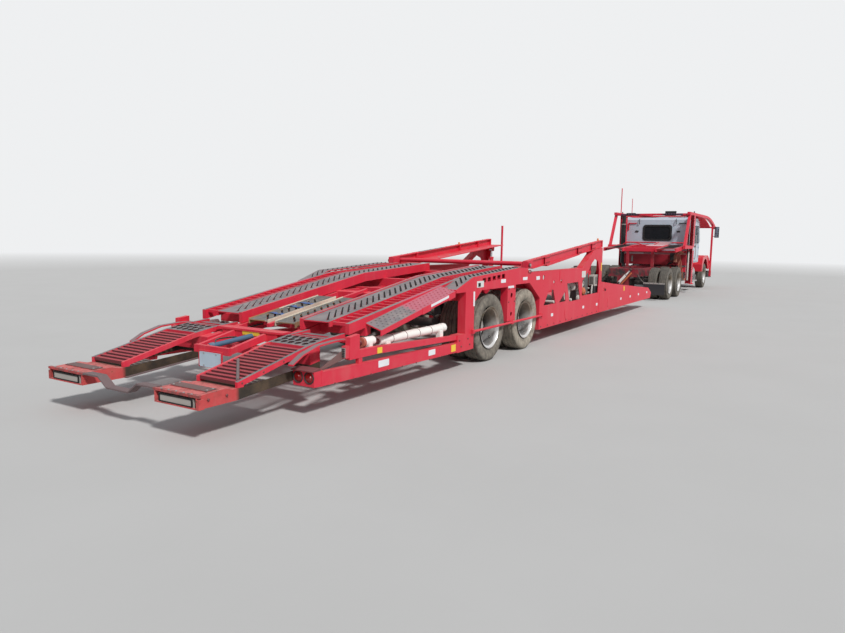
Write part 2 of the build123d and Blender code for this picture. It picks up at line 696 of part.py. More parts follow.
def upper_ramp():
    """The two rails over the low bay, hinged at the rear on one cross tube."""
    px, pz = RAMP_PIN
    y0, y1 = SIDE_Y - FLANGE_W + 8, RAMP_OUT - 8
    under = [(x, level(RAMP_LINE, x) - depth) for x, depth in reversed(RAMP_UNDER)]
    rail = side_plate(trailer(RAMP_LINE + under), y0, y1)
    rail -= across(RAMP_PIN_R + RUN, AX + px, pz, y0 - 1, y1 + 1)
    stops = (RAMP_BLOCK,) + RAMP_SPLICES + (RAMP_LINE[-1][0],)
    for xa, xb in zip(stops, stops[1:]):
        line = trailer([(x, level(RAMP_LINE, x)) for x in (xa + 12, xb - 12)])
        rail -= strip(line, y1 - 22, y1, RAMP_DEPTH - 2 * SKIN, -SKIN)
        rail -= strip(line, y0, y1 - 40, RAMP_DEPTH - 2 * SKIN, -SKIN)
    shelf_line = trailer([(1450, level(RAMP_LINE, 1450)), RAMP_LINE[1]])
    shelf = strip(shelf_line, RAMP_IN, y0, SKIN, SKIN - RAMP_DEPTH)
    tube = across(36, AX + 1490, 1300, -(y1 - 38), y1 - 38)
    ex, ez = RAMP_EYE
    top = level(RAMP_LINE, ex) - RAMP_DEPTH + 4
    ears = []
    for y in (CYL_Y - 45, CYL_Y + 33):
        points = [(ex - 45, ez - 45), (ex + 45, ez - 45), (ex + 60, top), (ex - 60, top)]
        ears.append(side_plate(trailer(points), y, y + 12))
    ears.append(across(EYE_PIN_R, AX + ex, ez, CYL_Y - 45, CYL_Y + 45))
    return fuse(both(fuse(rail, shelf)), tube, both(fuse(ears)))


def ramp_cylinders():
    """The barrels and rods that lift the upper ramp."""
    ex, ez = RAMP_EYE
    fx, fz = RAMP_FOOT
    run = math.hypot(ex - fx, ez - fz)
    ux, uz = (ex - fx) / run, (ez - fz) / run
    def at(d):
        return (AX + fx + ux * d, CYL_Y, fz + uz * d)
    barrel = rod(CYL_R, at(70), at(880)) - rod(CYL_ROD_R - 4 + RUN, at(120), at(900))
    foot = fuse(across(48, AX + fx, fz, CYL_Y - 30, CYL_Y + 30), rod(26, at(0), at(90)))
    barrel = fuse(barrel, foot) - across(EYE_PIN_R + RUN, AX + fx, fz, CYL_Y - 31, CYL_Y + 31)
    stem = rod(CYL_ROD_R - 4, at(140), at(run))
    eye = across(42, AX + ex, ez, CYL_Y - 30, CYL_Y + 30)
    stem = fuse(stem, eye) - across(EYE_PIN_R + EYE_DRIFT, AX + ex, ez, CYL_Y - 31, CYL_Y + 31)
    return both(barrel), both(stem)


def ramp_feet():
    """The brackets at the foot of the lifting cylinders, on the low deck."""
    fx, fz = RAMP_FOOT
    parts = []
    for y in (CYL_Y - 46, CYL_Y + 34):
        points = [(fx - 55, LOW_TOP), (fx + 35, LOW_TOP), (fx + 35, fz + 35), (fx - 35, fz + 35)]
        parts.append(side_plate(trailer(points), y, y + 12))
    parts.append(across(EYE_PIN_R, AX + fx, fz, CYL_Y - 46, CYL_Y + 46))
    return fuse(parts)


def skid():
    """The left loading skid in its pocket inside the tail beam."""
    return box(AX - 4762, AX - 3900, LADDER_IN + 40, TAIL_OUT - 50, 302, 372)


LONG_SKID_PITCH = 400  # middle to middle of the two long skids
LONG_SKID_WIDE = 300


def long_skid():
    """The left long skid stowed between the rear tracks, on the cross arms."""
    y0 = (LONG_SKID_PITCH - LONG_SKID_WIDE) / 2
    y1 = y0 + LONG_SKID_WIDE
    ends = [(x, level(REAR_TRACK, max(x, REAR_TRACK[0][0]))) for x in (-2900, -1720)]
    line = trailer(ends)
    edges = [strip(line, y0, y0 + 10, 60, -EDGE_DEPTH + 60), strip(line, y1 - 10, y1, 60, -EDGE_DEPTH + 60)]
    plate = strip(line, y0 + 10, y1 - 10, 10, -EDGE_DEPTH + 50)
    plate -= louvres(line[0][0] + 40, line[1][0] - 20, y0 + 60, y1 - 60, 180, 600, 1000)
    return fuse(edges, plate)


# Tractor

def chassis():
    """The tractor's frame rails, cross members, cab mounts and the stinger to the hitch."""
    rails = both(box(PV + 900, PV + 9290, RAIL_IN, RAIL_OUT, RAIL_BOTTOM, RAIL_TOP))
    cross = [
        box(PV + x, PV + x + 90, -RAIL_IN, RAIL_IN, RAIL_BOTTOM + 20, RAIL_TOP - 20)
        for x in (2230, 3600, 4900, 6900)
    ]
    cross.append(box(PV + 900, PV + 1100, -RAIL_OUT, RAIL_OUT, RAIL_BOTTOM, RAIL_TOP))
    cross.append(box(PV + 9210, PV + 9290, -RAIL_IN, RAIL_IN, RAIL_BOTTOM, RAIL_TOP))
    hx, hz = HOOD_PIN
    hinge = fuse(
        box(PV + 9200, PV + hx + 16, RAIL_OUT, RAIL_OUT + 16, hz - 24, hz + 30),
        across(HOOD_PIN_R, PV + hx, hz, RAIL_OUT, 505),
    )
    tower_top = level(DECK_LINE, 2850) - DECK_DEPTH - REST_GAP
    towers = both(box(PV + 2850, PV + 2930, RAIL_IN, RAIL_OUT, RAIL_TOP, tower_top))
    mounts = [both(box(PV + x, PV + x + 120, RAIL_IN, RAIL_OUT, RAIL_TOP, CAB_FLOOR)) for x in (5300, 7000)]
    drop = box(PV + 900, PV + 1100, -160, 160, STINGER_TOP - STINGER_T, RAIL_BOTTOM)
    tongue = box(PV, PV + 900, -110, 110, STINGER_TOP - STINGER_T, STINGER_TOP)
    head = upright(110, PV, 0, STINGER_TOP - STINGER_T, STINGER_TOP)
    pin = upright(HITCH_PIN_R, PV, 0, STINGER_TOP, STINGER_TOP + COUPLER_GAP + COUPLER_T + 20)
    return fuse(rails, cross, mounts[0], mounts[1], drop, tongue, head, pin, both(hinge), towers)


def drive_axles():
    """Both drive axles with their differentials and the seats under the frame rails."""
    parts = []
    for x in (PV + DRIVE_1, PV + DRIVE_2):
        half = fuse(twin_stub(x, DRIVE_FACE))
        seat = box(x - 70, x + 70, RAIL_IN, RAIL_OUT, TYRE_R, RAIL_BOTTOM)
        parts.extend(both(fuse(half, seat)))
        parts.append(Pos(x, 0, TYRE_R) * Cylinder(180, 260))
    return fuse(parts)


def steer_axle():
    """The front axle beam with a boss for each kingpin, on its spring seats."""
    x = PV + STEER_X
    beam = box(x - 50, x + 50, -(KINGPIN_Y - 40), KINGPIN_Y - 40, 425, 505)
    bosses = both(upright(45, x, KINGPIN_Y, 420, 510))
    seats = both(box(x - 60, x + 60, RAIL_IN, RAIL_OUT, 500, RAIL_BOTTOM))
    bores = both(upright(KINGPIN_R + RUN, x, KINGPIN_Y, 410, 520))
    body = fuse(beam, bosses, seats)
    return body - bores


def knuckle():
    """The left steering knuckle: kingpin, two ears, stub and arm."""
    x = PV + STEER_X
    middle = STEER_FACE - STEER_W / 2
    pin = upright(KINGPIN_R, x, KINGPIN_Y, 385, 545)
    ears = [box(x - 40, x + 40, KINGPIN_Y - 40, KINGPIN_Y + 82, z, z + 26) for z in (386, 514)]
    web = box(x - 40, x + 40, KINGPIN_Y + 57, KINGPIN_Y + 82, 386, 540)
    stub = across(STUB_R, x, TYRE_R, KINGPIN_Y + 82, middle + 72)
    arm = box(x - 190, x - 30, KINGPIN_Y - 20, KINGPIN_Y + 10, 386, 412)
    return fuse(pin, ears, web, stub, arm)


def engine():
    """The engine and gearbox as one plain block between the frame rails."""
    block = box(PV + 7420, PV + 8900, -330, 330, 700, 1240)
    gearbox = box(PV + 7000, PV + 7420, -200, 200, 600, 900)
    arms = [box(PV + x, PV + x + 120, -RAIL_IN, RAIL_IN, 760, 820) for x in (7600, 8600)]
    return fuse(block, gearbox, arms)


CAB = [
    (CAB_BACK, CAB_FLOOR), (7250, CAB_FLOOR), (7250, 1640), (6900, 2470), (6720, 2560),
    (5290, 2560), (CAB_BACK, 2480),
]
DOOR = [(6150, 1030), (7100, 1030), (7100, 1660), (6830, 2370), (6150, 2370)]
DOOR_HINGES = (1220, 1560)
DOOR_GLASS = [(6235, 1700), (6980, 1700), (6770, 2290), (6235, 2290)]


def cab_shell():
    """The hollow cab with its windscreen, rear window and door openings cut."""
    outer = outline(tractor(CAB))
    inner = offset(outer, -CAB_WALL, kind=Kind.INTERSECTION)
    shell = extrude(Plane.XZ.offset(-CAB_Y) * outer, 2 * CAB_Y)
    shell -= extrude(Plane.XZ.offset(-(CAB_Y - CAB_WALL)) * inner, 2 * (CAB_Y - CAB_WALL))
    hole = offset(outline(tractor(DOOR)), DOOR_GAP, kind=Kind.INTERSECTION)
    shell -= extrude(Plane.XZ.offset(-CAB_Y - 1) * hole, 2 * CAB_Y + 2)
    shell -= box(PV + CAB_BACK - 1, PV + CAB_BACK + CAB_WALL + 1, -450, 450, 1790, 2270)
    shell -= windscreen(930, 12, 60)
    px, py = DOOR_PIN
    hinges = []
    for z in DOOR_HINGES:
        hinges.append(upright(DOOR_PIN_R, PV + px, py, z - 40, z + 40))
        hinges += [box(PV + px - 4, PV + px + 34, CAB_Y, CAB_Y + 26, at, at + 20) for at in (z - 40, z + 20)]
    return fuse(shell, both(fuse(hinges)))


def windscreen(half, inset, deep):
    """The pane in the sloped front of the cab, or the hole for it."""
    x0, z0, x1, z1 = 7250, 1640, 6900, 2470
    run = math.hypot(x1 - x0, z1 - z0)
    place = Plane(origin=(PV + (x0 + x1) / 2, 0, (z0 + z1) / 2), x_dir=(0, 1, 0), z_dir=(z1 - z0, 0, x0 - x1))
    return place * Pos(0, 0, -deep / 2 + 5) * Box(2 * half, run - 170, deep)


def cab_glass():
    """Windscreen and rear window."""
    front = windscreen(930, 0, 60) & extrude(
        Plane.XZ.offset(-CAB_Y) * (
            offset(outline(tractor(CAB)), -12, kind=Kind.INTERSECTION)
            - offset(outline(tractor(CAB)), -20, kind=Kind.INTERSECTION)
        ), 2 * CAB_Y)
    rear = box(PV + CAB_BACK + 14, PV + CAB_BACK + 22, -450, 450, 1790, 2270)
    return [front, rear]


def cab_inside():
    """Two seats, the dashboard and the steering wheel."""
    floor = CAB_FLOOR + CAB_WALL
    seats = []
    for y in (-520, 520):
        seats.append(fuse(
            box(PV + 5900, PV + 6400, y - 240, y + 240, floor, floor + 420),
            side_plate(tractor([(5750, floor + 300), (5900, floor + 300), (5900, floor + 420),
                                (5830, floor + 1050), (5700, floor + 1050)]), y - 230, y + 230),
        ))
    dash = side_plate(tractor([(6960, floor), (7200, floor), (7200, 1560), (6960, 1500)]), -980, 980)
    column = rod(25, (PV + 6990, 520, 1440), (PV + 6760, 520, 1560))
    place = Plane(origin=(PV + 6760, 520, 1560), z_dir=(-230, 0, 120))
    wheel = place * (Cylinder(210, 24) - Cylinder(180, 26))
    spoke = place * Box(40, 380, 16)
    return seats + [fuse(dash, column, wheel, spoke)]


def door():
    """The left door with its window cut."""
    panel = side_plate(tractor(DOOR), CAB_Y - CAB_WALL, CAB_Y)
    panel -= side_plate(tractor(DOOR_GLASS), CAB_Y - CAB_WALL, CAB_Y)
    handle = box(PV + 6200, PV + 6340, CAB_Y, CAB_Y + 22, 1560, 1590)
    px, py = DOOR_PIN
    leaves = []
    for z in DOOR_HINGES:
        leaf = fuse(
            box(PV + px - 60, PV + px - 14, CAB_Y, CAB_Y + 22, z - 18, z + 18),
            box(PV + px - 16, PV + px, CAB_Y + 8, CAB_Y + 22, z - 18, z + 18),
            upright(KNUCKLE_R, PV + px, py, z - 18, z + 18),
        )
        leaves.append(leaf - upright(DOOR_PIN_R + RUN, PV + px, py, z - 19, z + 19))
    return fuse(panel, handle, leaves)


def door_glass():
    """The left door's pane."""
    return side_plate(tractor(DOOR_GLASS), CAB_Y - 24, CAB_Y - 18)


HOOD = [
    (HOOD_BACK, 1010), (9150, 700), (9345, 700), (9350, 1250), (9270, 1370), (9100, 1420),
    (HOOD_BACK, 1620),
]
HOOD_HOLLOW = [
    (HOOD_BACK - 5, 900), (9320, 600), (9320, 1230), (9250, 1340), (9090, 1395), (HOOD_BACK - 5, 1592),
]
FENDER = [
    (7620, 640), (7620, 900), (7760, 1130), (8100, 1230), (8900, 1230), (9250, 1100), (9340, 900),
    (9340, 700),
]
FENDER_HOLLOW = [
    (7645, 500), (7645, 893), (7778, 1110), (8105, 1205), (8895, 1205), (9232, 1080), (9315, 893),
    (9315, 500),
]
ARCH_R = 640
GRILLE_Y = 350
GRILLE_Z = (790, 1240)
GRILLE_BAR = 16
GRILLE_PITCH = 50


def hood():
    """The tilting hood with both wheel arches, open below and behind."""
    outer = outline(tractor(HOOD))
    inner = outline(tractor(HOOD_HOLLOW))
    nose = extrude(Plane.XZ.offset(-HOOD_Y) * outer, 2 * HOOD_Y)
    nose -= extrude(Plane.XZ.offset(-(HOOD_Y - FENDER_SKIN)) * inner, 2 * (HOOD_Y - FENDER_SKIN))
    side = outline(tractor(FENDER))
    hollow = outline(tractor(FENDER_HOLLOW))
    fender = extrude(Plane.XZ.offset(-FENDER_Y) * side, FENDER_Y - HOOD_Y)
    fender -= extrude(Plane.XZ.offset(-(FENDER_Y - FENDER_SKIN)) * hollow, FENDER_Y - FENDER_SKIN - HOOD_Y)
    fender -= across(ARCH_R, PV + STEER_X, TYRE_R, HOOD_Y + 1, FENDER_Y + 1)
    hx, hz = HOOD_PIN
    lug = box(PV + hx - 25, PV + hx + 15, 480, HOOD_Y - FENDER_SKIN, hz - 25, 720)
    lug -= across(HOOD_PIN_R + RUN, PV + hx, hz, 470, 520)
    low, high = GRILLE_Z
    nose -= box(PV + 9300, PV + 9360, -GRILLE_Y, GRILLE_Y, low, high)
    bars = []
    for z in range(low + GRILLE_PITCH - GRILLE_BAR, high, GRILLE_PITCH):
        bars.append(box(PV + 9322, PV + 9340, -GRILLE_Y - 5, GRILLE_Y + 5, z, z + GRILLE_BAR))
    middle = box(PV + 9318, PV + 9336, -12, 12, low - 5, high + 5)
    return fuse(nose, both(fender), both(lug), bars, middle)


def headlamps():
    """A lamp on each front corner of the hood."""
    return both(box(PV + 9340, PV + 9362, 700, 1080, 800, 980))


def bumper():
    """The front bumper with two tow eyes."""
    half, back, front = 1250, PV + 9370, PV + 9520
    plan = [
        (back, -half), (back, half), (back + 50, half), (front, half - 200), (front, 200 - half),
        (back + 50, -half),
    ]
    bar = plan_plate(plan, 360, 620)
    arms = both(box(PV + 9280, PV + 9370, RAIL_IN, RAIL_OUT, 420, RAIL_BOTTOM))
    eyes = []
    for y in (-390, 390):
        eye = box(PV + 9400, PV + 9500, y - 15, y + 15, 270, 360) - across(18, PV + 9450, 315, y - 20, y + 20)
        eyes.append(eye)
    return fuse(bar, arms, eyes)


def fuel_tanks():
    """A round tank with its straps and step under each door."""
    tank = along(290, PV + 5650, PV + 6850, 760, 640)
    hanger = [box(PV + x, PV + x + 60, RAIL_OUT, 560, 680, 820) for x in (5800, 6600)]
    step = box(PV + 5900, PV + 6750, 1000, 1150, 330, 370)
    riser = [box(PV + x, PV + x + 30, 1000, 1100, 370, 560) for x in (5930, 6690)]
    return both(fuse(tank, hanger, step, riser))


def stack():
    """The exhaust stack behind the cab on the left."""
    pipe = upright(62, PV + 4720, 1040, 960, 2600)
    foot = box(PV + 4660, PV + 4780, RAIL_OUT, 1040, 780, 880)
    riser = upright(45, PV + 4720, 1000, 860, 980)
    return fuse(pipe, foot, riser)


def mirrors():
    """Tall mirrors on the front posts of the head rack."""
    x0 = PV + FRONT_POST
    arm = [box(x0 + 20, x0 + 50, RACK_OUT, 1300, z, z + 20) for z in (1960, 2280)]
    head = box(x0, x0 + 80, 1295, 1450, 1920, 2340)
    return both(fuse(arm, head))


CURVE_START = RACK_REACH - 2550
CURVE_DROP = 350


def rack_top(x):
    """Height of the head rack's top edge at x ahead of the hitch pin."""
    reach = RACK_REACH - CURVE_START
    radius = (reach ** 2 + CURVE_DROP ** 2) / (2 * CURVE_DROP)
    return RACK_TOP - radius + math.sqrt(radius ** 2 - max(x - CURVE_START, 0) ** 2)


RACK_PIN_Z = rack_top(RACK_PIN_X) - 40


def curved_rail(y0, y1, depth, x0, lift):
    """A rail along the top of the head rack: level, then bending down to the front."""
    reach = RACK_REACH - CURVE_START
    radius = (reach ** 2 + CURVE_DROP ** 2) / (2 * CURVE_DROP)
    angle = math.degrees(math.asin(reach / radius))
    top = RACK_TOP + lift
    middle = (PV + CURVE_START, top - radius)
    outer = CenterArc(middle, radius, 90, -angle)
    inner = CenterArc(middle, radius - depth, 90, -angle)
    edge = [Line(outer @ 1, inner @ 1), Line(inner @ 0, (PV + x0, top - depth)),
            Line((PV + x0, top - depth), (PV + x0, top)), Line((PV + x0, top), outer @ 0)]
    face = make_face(Curve() + [outer, inner] + edge)
    return extrude(Plane.XZ.offset(-y1) * face, y1 - y0)


def rack_frame():
    """The head rack's fixed frame: side rails, posts, struts and their feet."""
    rail = curved_rail(RACK_IN, RACK_OUT, 90, 4150, 0)
    x0 = PV + REAR_POST
    x1 = x0 + POST_DEEP
    top = RACK_TOP - 90
    post = fuse(
        box(x0, x1, POST_IN, POST_IN + POST_SKIN, 300, top),
        box(x0, x1, RACK_OUT - POST_SKIN, RACK_OUT, 300, top),
        box(x1 - 20, x1, POST_IN, RACK_OUT, 300, top),
    )
    foot = box(x0, x1 - 20, RAIL_OUT, POST_IN, 700, 860)
    strut_line = [(3640, 1600), (3740, 1600), (4330, top), (4230, top)]
    strut = side_plate(tractor(strut_line), RACK_IN + 20, RACK_OUT)
    low = box(PV + 3560, x0, RACK_IN + 20, RACK_OUT, 1500, 1600)
    fx = PV + FRONT_POST
    front_top = rack_top(FRONT_POST + FRONT_POST_DEEP) - 60
    front = box(fx, fx + FRONT_POST_DEEP, 1175, RACK_OUT, 400, front_top)
    side = fuse(rail, post, foot, strut, low, front)
    beam = [
        box(PV + x, PV + x + 100, -RACK_IN, RACK_IN, RACK_TOP - 110, RACK_TOP - RACK_DECK_T - REST_GAP)
        for x in (4180, 7300)
    ]
    dx, dz = DECK_PIN
    pins = both(across(DECK_PIN_R, PV + dx, dz, DECK_Y - 50, RACK_IN + 20))
    pins += both(across(RACK_PIN_R, PV + RACK_PIN_X, RACK_PIN_Z, RACK_IN - 70, RACK_IN))
    panel = []
    for deep, z0, z1 in ((80, 960, 1350), (110, 1350, 1420), (110, 930, 960)):
        panel.append(box(x0 - deep, x0, -(POST_IN + POST_SKIN), POST_IN + POST_SKIN, z0, z1))
    bars = [across(20, x0 + 30, z, -POST_IN - 2, POST_IN + 2) for z in (1560, 1690)]
    guide = upright(GUIDE_R, PV + 4870, 1200, RACK_TOP, GUIDE_TOP)
    whip = upright(10, PV + 4230, 660, RACK_TOP - 50, WHIP_TOP)
    stubs = both(upright(18, x0 + 100, 1200, RACK_TOP, RACK_TOP + 55))
    steps = both(box(PV + 4930, PV + 5230, RACK_OUT - 60, RACK_OUT + 40, 300, 330))
    return fuse(both(side), beam, panel, bars, pins, guide, whip, stubs, steps)


def rack_deck():
    """The two wheel tracks over the cab, joined by cross members and hinged at the front."""
    track = curved_rail(RACK_DECK_IN, RACK_DECK_OUT, RACK_DECK_T, 5250, 0)
    lower, upper = RACK_TOP - CURVE_DROP - 200, RACK_TOP + 10
    y0, y1 = RACK_DECK_IN + 100, RACK_DECK_OUT - 100
    track -= louvres(PV + 5420, PV + RACK_REACH - 250, y0, y1, 160, lower, upper)[::2]
    cross = [
        box(PV + x, PV + x + 90, -RACK_DECK_IN, RACK_DECK_IN, RACK_TOP - RACK_DECK_T, RACK_TOP)
        for x in (5260, 7200)
    ]
    tube = across(30, PV + RACK_PIN_X, RACK_PIN_Z, -RACK_IN + 6, RACK_IN - 6)
    tube -= across(RACK_PIN_R + RUN, PV + RACK_PIN_X, RACK_PIN_Z, -RACK_IN, -RACK_IN + 80)
    tube -= across(RACK_PIN_R + RUN, PV + RACK_PIN_X, RACK_PIN_Z, RACK_IN - 80, RACK_IN)
    return fuse(both(track), cross, tube)


def tractor_deck():
    """The deck over the drive wheels, hinged at its front end on the rack's lower rails."""
    line = tractor(DECK_LINE)
    dx, dz = DECK_PIN
    side = strip(line, DECK_Y - 50, DECK_Y, DECK_DEPTH)
    side -= across(DECK_PIN_R + RUN, PV + dx, dz, DECK_Y - 60, DECK_Y + 1)
    inner = strip(line, 500, 540, DECK_DEPTH)
    plate = strip(line, 540, DECK_Y - 50, SKIN, -10)
    plate -= louvres(line[0][0] + 60, line[1][0] - 60, 620, 1000, 200, 1400, 1700)
    cross = [
        strip(tractor([(x, level(DECK_LINE, x)), (x + 80, level(DECK_LINE, x + 80))]), -500, 500, DECK_DEPTH)
        for x in (2850, 3700, 4450)
    ]
    cover_line = tractor([(x, level(DECK_LINE, x)) for x in (3720, 4510)])
    cover = strip(cover_line, -520, 60, SKIN, 8)
    return fuse(both(fuse(side, inner, plate)), cross, cover)


def main():
    """Write every sub-part."""
    os.makedirs("parts", exist_ok=True)
    wheels()
    side = girder()
    save("girder_left", side)
    save("girder_right", mirror(side, about=Plane.XZ))
    save("rear_frame", rear_frame())
    save("low_deck", fuse(low_deck(), both(ramp_feet())))
    save("rear_track_left", rear_track(1))
    save("rear_track_right", mirror(rear_track(-1), about=Plane.XZ))
    ramp = tail_ramp()
    save("tail_ramps", ramp, fuse(mirror(ramp, about=Plane.XZ), loose_bar()))
    save("tail_beams", fuse(both(tail_beam()), tail_bar()))
    save("tail_frame", tail_frame())
    save("tail_rails", both(tail_rail()))
    save("tail_lamps", tail_lamps())
    save("side_cylinders", side_cylinder() + [mirror(c, about=Plane.XZ) for c in side_cylinder()])
    save("side_rods", side_rods())
    save("power_unit", power_unit())
    save("trailer_axles", trailer_axles())
    save("upper_ramp", upper_ramp())
    barrels, rods = ramp_cylinders()
    save("ramp_barrels", barrels)
    save("ramp_rods", rods)
    save("skids", both(skid()), long_skid(), Pos(0, -LONG_SKID_PITCH, 0) * long_skid())
    save("chassis", chassis())
    save("tractor_axles", drive_axles(), steer_axle())
    arm = knuckle()
    save("knuckle_left", arm)
    save("knuckle_right", mirror(arm, about=Plane.XZ))
    save("engine", engine())
    save("cab_shell", cab_shell())
    save("cab_glass", cab_glass())
    save("cab_inside", cab_inside())
    panel = door()
    save("door_left", panel)
    save("door_right", mirror(panel, about=Plane.XZ))
    pane = door_glass()
    save("door_glass_left", pane)
    save("door_glass_right", mirror(pane, about=Plane.XZ))
    save("hood", hood())
    save("headlamps", headlamps())
    save("bumper", bumper())
    save("fuel_tanks", fuel_tanks())
    save("stack", stack())
    save("mirrors", mirrors())
    save("rack_frame", rack_frame())
    save("rack_deck", rack_deck())
    save("tractor_deck", tractor_deck())


main()
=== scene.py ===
# %% [markdown]
# # A car transporter truck
#
# The truck is an articulated one: a tractor with a rack over its cab, and a long low trailer with sloped
# tracks at the tail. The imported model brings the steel, the wheels' sizes and every hinge. This lesson gives
# it its looks: worn red paint, grip coating on the tracks, dusty tyres, and the small forms that steelwork of
# this kind is full of.

# %% Load the model
import json
import math

import bmesh
import bpy
import numpy as np
from mathutils import Matrix, Vector


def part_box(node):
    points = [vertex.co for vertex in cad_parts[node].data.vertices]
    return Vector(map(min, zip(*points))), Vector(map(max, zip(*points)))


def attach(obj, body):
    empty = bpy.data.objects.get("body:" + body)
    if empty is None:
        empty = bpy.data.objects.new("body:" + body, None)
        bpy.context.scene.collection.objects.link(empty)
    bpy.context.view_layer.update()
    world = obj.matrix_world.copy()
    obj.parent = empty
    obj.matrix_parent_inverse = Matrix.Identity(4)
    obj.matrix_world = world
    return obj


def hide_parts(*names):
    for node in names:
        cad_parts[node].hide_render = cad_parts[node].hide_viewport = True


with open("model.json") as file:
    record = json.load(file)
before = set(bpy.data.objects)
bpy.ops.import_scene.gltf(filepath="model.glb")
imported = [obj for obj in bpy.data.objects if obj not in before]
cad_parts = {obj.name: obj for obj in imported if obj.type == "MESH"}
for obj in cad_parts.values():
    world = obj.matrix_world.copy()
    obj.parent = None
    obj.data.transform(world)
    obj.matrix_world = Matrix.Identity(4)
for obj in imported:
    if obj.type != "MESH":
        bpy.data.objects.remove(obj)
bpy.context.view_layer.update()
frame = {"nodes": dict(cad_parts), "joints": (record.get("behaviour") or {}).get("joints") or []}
nodes = frame["nodes"]

# %% [markdown]
# ## Places along the truck
#
# Every place comes from the model: a wheel's middle is the middle of its node's box. The names below are used
# by all the later cells, so that nothing is typed twice.

# %% Places taken from the model
def middle(node):
    """Middle of a node's box, in metres."""
    low, high = (np.array(corner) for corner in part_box(node))
    return (low + high) / 2


def span(node):
    """Lowest and highest corner of a node's box."""
    low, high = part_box(node)
    return np.array(low), np.array(high)


rear_axle = middle("trailer_rear_left_tyres")[0]
front_axle = middle("trailer_front_left_tyres")[0]
hitch = next(joint for joint in frame["joints"] if joint["name"] == "hitch")["pos_m"][0]
tyre_radius = span("steer_left_tyre")[1][2] / 2
print("rear axle", rear_axle, "hitch", hitch, "tyre radius", tyre_radius)

# %% [markdown]
# ## Surfaces from formulas
#
# A real maker bends, rolls and cuts plate. Here each form is a grid of points worked out as whole arrays: a
# row for each step along it, a column for each step around it. A helper turns the grid into faces, and
# another gathers many surfaces into one mesh. Modelling by hand would give the same shapes, but a formula
# keeps every copy alike and easy to resize.

# %% Grids, bars, discs and the mesh they go into
ORDER = {"x": (2, 0, 1), "y": (0, 2, 1), "z": (0, 1, 2)}  # where (a, b, distance) go for each direction
TIP = 0.0005  # a radius next to nothing, where a turned profile starts or ends


def lattice(points, close_rows=False, close_columns=False):
    """Faces between the rows and columns of a grid: corner (i, j) joins (i+1, j), (i+1, j+1), (i, j+1)."""
    rows, columns = points.shape[:2]
    i, j = np.meshgrid(
        np.arange(rows if close_rows else rows - 1),
        np.arange(columns if close_columns else columns - 1), indexing="ij",
    )
    i1, j1 = (i + 1) % rows, (j + 1) % columns
    quads = np.stack([i * columns + j, i1 * columns + j, i1 * columns + j1, i * columns + j1], -1)
    return points.reshape(-1, 3), [quads.reshape(-1, 4)]


def bars(low, high):
    """Boxes between low and high corners: corner = low + bit * (high - low), bit 0 or 1 along each axis."""
    low, high = np.atleast_2d(low).astype(float), np.atleast_2d(high).astype(float)
    bit = np.array([(k >> 2 & 1, k >> 1 & 1, k & 1) for k in range(8)])
    points = low[:, None] + bit * (high - low)[:, None]
    sides = np.array([(0, 1, 3, 2), (4, 6, 7, 5), (0, 4, 5, 1), (2, 3, 7, 6), (0, 2, 6, 4), (1, 5, 7, 3)])
    quads = sides + 8 * np.arange(len(low))[:, None, None]
    return points.reshape(-1, 3), [quads.reshape(-1, 4)]


def prism(outline, start, stop, axis="y"):
    """An outline drawn out along an axis: the same points at start and stop, walls between, two end faces."""
    outline = np.asarray(outline, float)
    n = len(outline)
    flat = np.concatenate([np.c_[outline, np.full(n, start)], np.c_[outline, np.full(n, stop)]])
    k = np.arange(n)
    walls = np.stack([k, (k + 1) % n, (k + 1) % n + n, k + n], -1)
    return flat[:, ORDER[axis]], [walls, k[::-1][None], (k + n)[None]]


def turned(profile, centre, axis="y", turns=24, closed=False):
    """A profile of (radius, distance) turned about X, Y or Z through the centre: a = r cos t, b = r sin t."""
    r, far = np.asarray(profile, float).T
    t = np.arange(turns) * 2 * np.pi / turns
    grid = np.stack([np.outer(r, np.cos(t)), np.outer(r, np.sin(t)), np.outer(far, np.ones(turns))], -1)
    return lattice(grid[..., ORDER[axis]] + np.asarray(centre, float), close_rows=closed, close_columns=True)


def capped(profile):
    """A profile closed at both ends by points next to the axis."""
    return [(TIP, profile[0][1]), *profile, (TIP, profile[-1][1])]


def tube(path, radius, sides=10, up=(0, 0, 1)):
    """A round tube: a ring of radius r across a path at each of its points, closed at both ends."""
    path = np.asarray(path, float)
    ahead = np.gradient(path, axis=0)
    ahead /= np.linalg.norm(ahead, axis=1, keepdims=True)
    across = np.cross(ahead, np.asarray(up, float))
    across /= np.linalg.norm(across, axis=1, keepdims=True)
    over = np.cross(across, ahead)
    a = np.arange(sides) * 2 * np.pi / sides
    ring = np.cos(a)[None, :, None] * across[:, None] + np.sin(a)[None, :, None] * over[:, None]
    points, faces = lattice(path[:, None] + radius * ring, close_columns=True)
    first = np.arange(sides)[None]
    return points, faces + [first[:, ::-1], first + sides * (len(path) - 1)]


def moved(surface, offsets):
    """Copies of a surface, one for each offset, as one surface."""
    points, faces = surface
    offsets = np.atleast_2d(offsets).astype(float)
    n = len(points)
    copies = (points[None] + offsets[:, None]).reshape(-1, 3)
    shift = n * np.arange(len(offsets))[:, None, None]
    return copies, [(block[None] + shift).reshape(-1, block.shape[1]) for block in faces]


def mirrored(surface):
    """The same surface on the other side of the truck: y becomes -y."""
    points, faces = surface
    return points * (1, -1, 1), [block[:, ::-1] for block in faces]


def placed(name, data):
    """A new object in the scene."""
    made = bpy.data.objects.new(name, data)
    bpy.context.scene.collection.objects.link(made)
    return made


